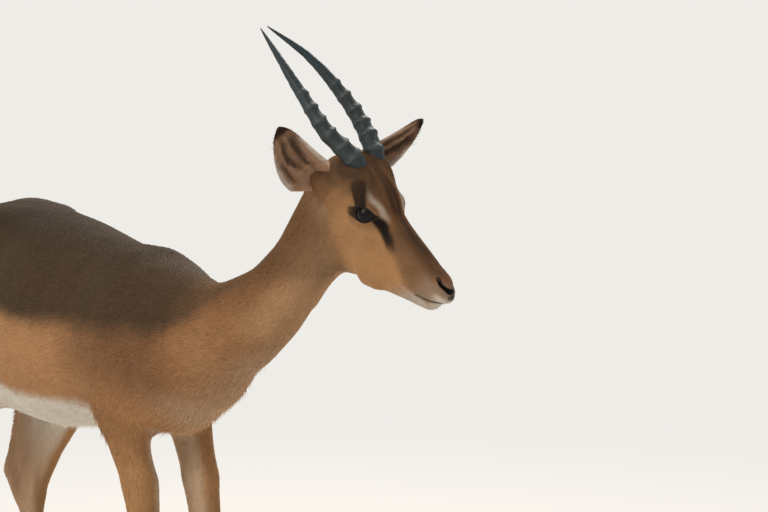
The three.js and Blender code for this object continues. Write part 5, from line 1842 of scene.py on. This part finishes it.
def long_hair(name, weight, count, length, width, names, slot, lean=0.5, fall=0.6, tip_colour=None):
    """Strands rooted where weight is high; length may be a number or a function of the roots."""
    points, normals, found, weights, lie = rooted_on_body(weight, count)
    jitter = 0.13 * rng.standard_normal((count, 3))
    start = unit(lie + lean * normals + jitter)
    end = unit(lie + fall * DOWN + 0.1 * normals + jitter)
    long_ = (length(points) if callable(length) else np.full(count, float(length)))
    colours = coat_colour(points, normals, weights)
    colours = colours * (1 + 0.09 * rng.standard_normal(count))[:, None]
    tips = colours if tip_colour is None else mixed(colours, tip_colour, np.full(count, 0.7))
    places = unwrap(points, found, weights, names)
    arrays = strands(points, normals, start, end, long_ * rng.uniform(0.65, 1.2, count),
                     np.full(count, float(width)), colours, tips, places)
    coat_piece(name, arrays, slot)


x, y, z = skin_points.T
tail_low = ramp(700, 600, z)
long_hair("switch", (skin_part["tail"] > 0.4) * (0.25 + tail_low), 4500,
          lambda p: np.interp(p[:, 2], [430, 560, 690], [46, 40, 20]), 0.9, ["tail", "trunk"], "tail_coat",
          0.55, 1.2)
underside = ramp(0.35, 0.85, -skin_normals[:, 2])
chest = ramp(30, 90, x) * ramp(0.2, 0.8, skin_normals[:, 0] - 0.7 * skin_normals[:, 2])
chest *= (skin_part["trunk"] > 0.5) * (z < 600)
middle = ramp(40, 10, np.abs(y)) * underside * (skin_part["trunk"] > 0.5) * (z < 520)
long_hair("fringe", chest * 1.0 + middle * 1.1, 3600, 17, 0.8, ["trunk", "neck"], "saddle_coat", 0.3, 0.25)
elbow = sum(np.exp(-(np.linalg.norm(skin_points - (-62 - 0.5 * s * (FORE_STEP if s > 0 else 0), 60 * s, 500),
                                    axis=1) / 26) ** 2) for s in SIDES.values())
long_hair("elbow_hair", elbow, 1400, 18, 0.8, ["trunk", *LEGS], "fawn_coat", 0.35, 0.5)
fetlock = near_line(skin_points, FETLOCK_TUFT, 12, 0.3) * (skin_normals[:, 0] < 0)
long_hair("fetlock_tufts", fetlock, 2300, 13, 0.8, LEGS, "leg_coat", 0.8, 0.6)
coronet = (skin_points[:, 2] < 64) * ramp(36, 46, skin_points[:, 2])
long_hair("coronet_hair", coronet, 1800, 9, 0.7, LEGS, "leg_coat", 0.22, 1.0)
height, radius, _ = horn_seat(skin_folded)
collar = ramp(22, 18, radius) * ramp(-16, -9, height) * is_head
poll = ramp(16, 8, to_line(skin_folded, POLL_TUFT)[0]) * is_head
long_hair("crown_hair", collar * 1.0 + poll * 0.8, 2800, 6.5, 0.55, ["head", "neck"], "face_coat", 0.6, 0.0)

# %% [markdown]
# Lashes and whiskers are few and thin, and all alike, so Geometry Nodes place them: one tapered
# hair is instanced on points, turned along a stored direction, realised and given its material.

# %% Whisker tree
HAIR_TIP = 0.03                         # radius of a stiff hair's tip, mm


def whisker_tree():
    tree, given, out = geometry_tree("stiff hairs", [("Length", 0.02), ("Radius", 0.0002)])
    hair = node(tree, "GeometryNodeMeshCone",
                [(given.outputs["Radius"], "Radius Bottom"), (given.outputs["Length"], "Depth")],
                Vertices=4, Side_Segments=3, Radius_Top=HAIR_TIP * MM)
    way = node(tree, "GeometryNodeInputNamedAttribute", data_type="FLOAT_VECTOR", Name="way")
    turned = node(tree, "FunctionNodeAlignRotationToVector", [(way.outputs["Attribute"], "Vector")], axis="Z")
    size = node(tree, "FunctionNodeRandomValue", Seed=5)
    size.inputs[2].default_value = 0.55   # the shortest hair's share; input 2 is the number's Min
    put = node(tree, "GeometryNodeInstanceOnPoints",
               [(given.outputs["Geometry"], "Points"), (hair.outputs["Mesh"], "Instance"),
                (turned.outputs["Rotation"], "Rotation"), (size.outputs[1], "Scale")])
    return end_tree(tree, put.outputs[0], given, out)


WHISKER_TREE = whisker_tree()
WHISKER_LOOK = grained("stiff dark hair", (0.03, 0.024, 0.02), 8.0, 1.0, 0.5, Roughness=0.5)[0]


def stiff_hairs(name, places, ways, length, radius, slot):
    """Places in head mm and directions in head axes."""
    ways = unit(ways) @ HEAD.T
    points = from_head(places)
    mesh = to_mesh(name, points, [])
    store(mesh, "way", "FLOAT_VECTOR", ways)
    made = made_mesh(to_object(name, mesh), WHISKER_TREE, Length=length * MM, Radius=radius * MM,
                     Look=WHISKER_LOOK)
    finished(name, made, None, slot)
    print(name, len(made.polygons), "faces")


# %% Lashes and whiskers
LASHES, WHISKERS = 22, 26
for name, side in SIDES.items():
    along, up, out = eye_axes(side)
    angle = np.linspace(0.7, 2.3, LASHES) + 0.03 * rng.standard_normal(LASHES)
    a, b = lid_edge(angle)
    a, b = a * 1.04, b * 1.1
    way, places = over_eyeball(side, a, b, 1.6)
    ways = 0.5 * way + 0.1 * up + 0.2 * out - 0.04 * np.abs(a)[:, None] * along
    stiff_hairs(f"lashes_{name}", places, ways, 4.5, 0.15, "eye")
near_lip = is_head & (skin_folded[:, 0] > 112) & (skin_folded[:, 2] < -12) & (bare < 0.2)
picks = rng.choice(np.nonzero(near_lip)[0], WHISKERS, replace=False)
lip_normals = skin_normals[picks] @ HEAD
stiff_hairs("whiskers", to_head(skin_points[picks]), 0.8 * lip_normals + (0.1, 0, -0.35), 8, 0.08,
            "face_coat")

# %% [markdown]
# Last comes the floor's look. The floor is matt and pale, a little mottled.

# %% Floor look
FLOOR_CLEAR, FLOOR_GONE = 0.9, 2.6        # radii in metres between which the floor fades into the sky
floor_look, tree, shader, _ = grained("pale floor", (0.82, 0.79, 0.75), 900.0, 60.0, 0.03,
                                      Roughness=0.9, Specular_IOR_Level=0.1)
place = node(tree, "ShaderNodeTexCoord").outputs["Object"]
away = node(tree, "ShaderNodeVectorMath", [(place, 0)], operation="LENGTH")
far = ranged(tree, away.outputs["Value"], (FLOOR_CLEAR, FLOOR_GONE), interpolation_type="SMOOTHSTEP")
path = node(tree, "ShaderNodeLightPath")
seen = maths(tree, "MAXIMUM", path.outputs["Is Camera Ray"], path.outputs["Is Glossy Ray"])
share = maths(tree, "MULTIPLY", seen, far)
backdrop = node(tree, "ShaderNodeEmission")
backdrop.inputs["Color"].default_value = (*SKY, 1)
mix = node(tree, "ShaderNodeMixShader",
           [(share, 0), (shader.outputs[0], 1), (backdrop.outputs[0], 2)])
tree.links.new(mix.outputs[0], tree.nodes["Material Output"].inputs["Surface"])
floor.data.materials.append(floor_look)
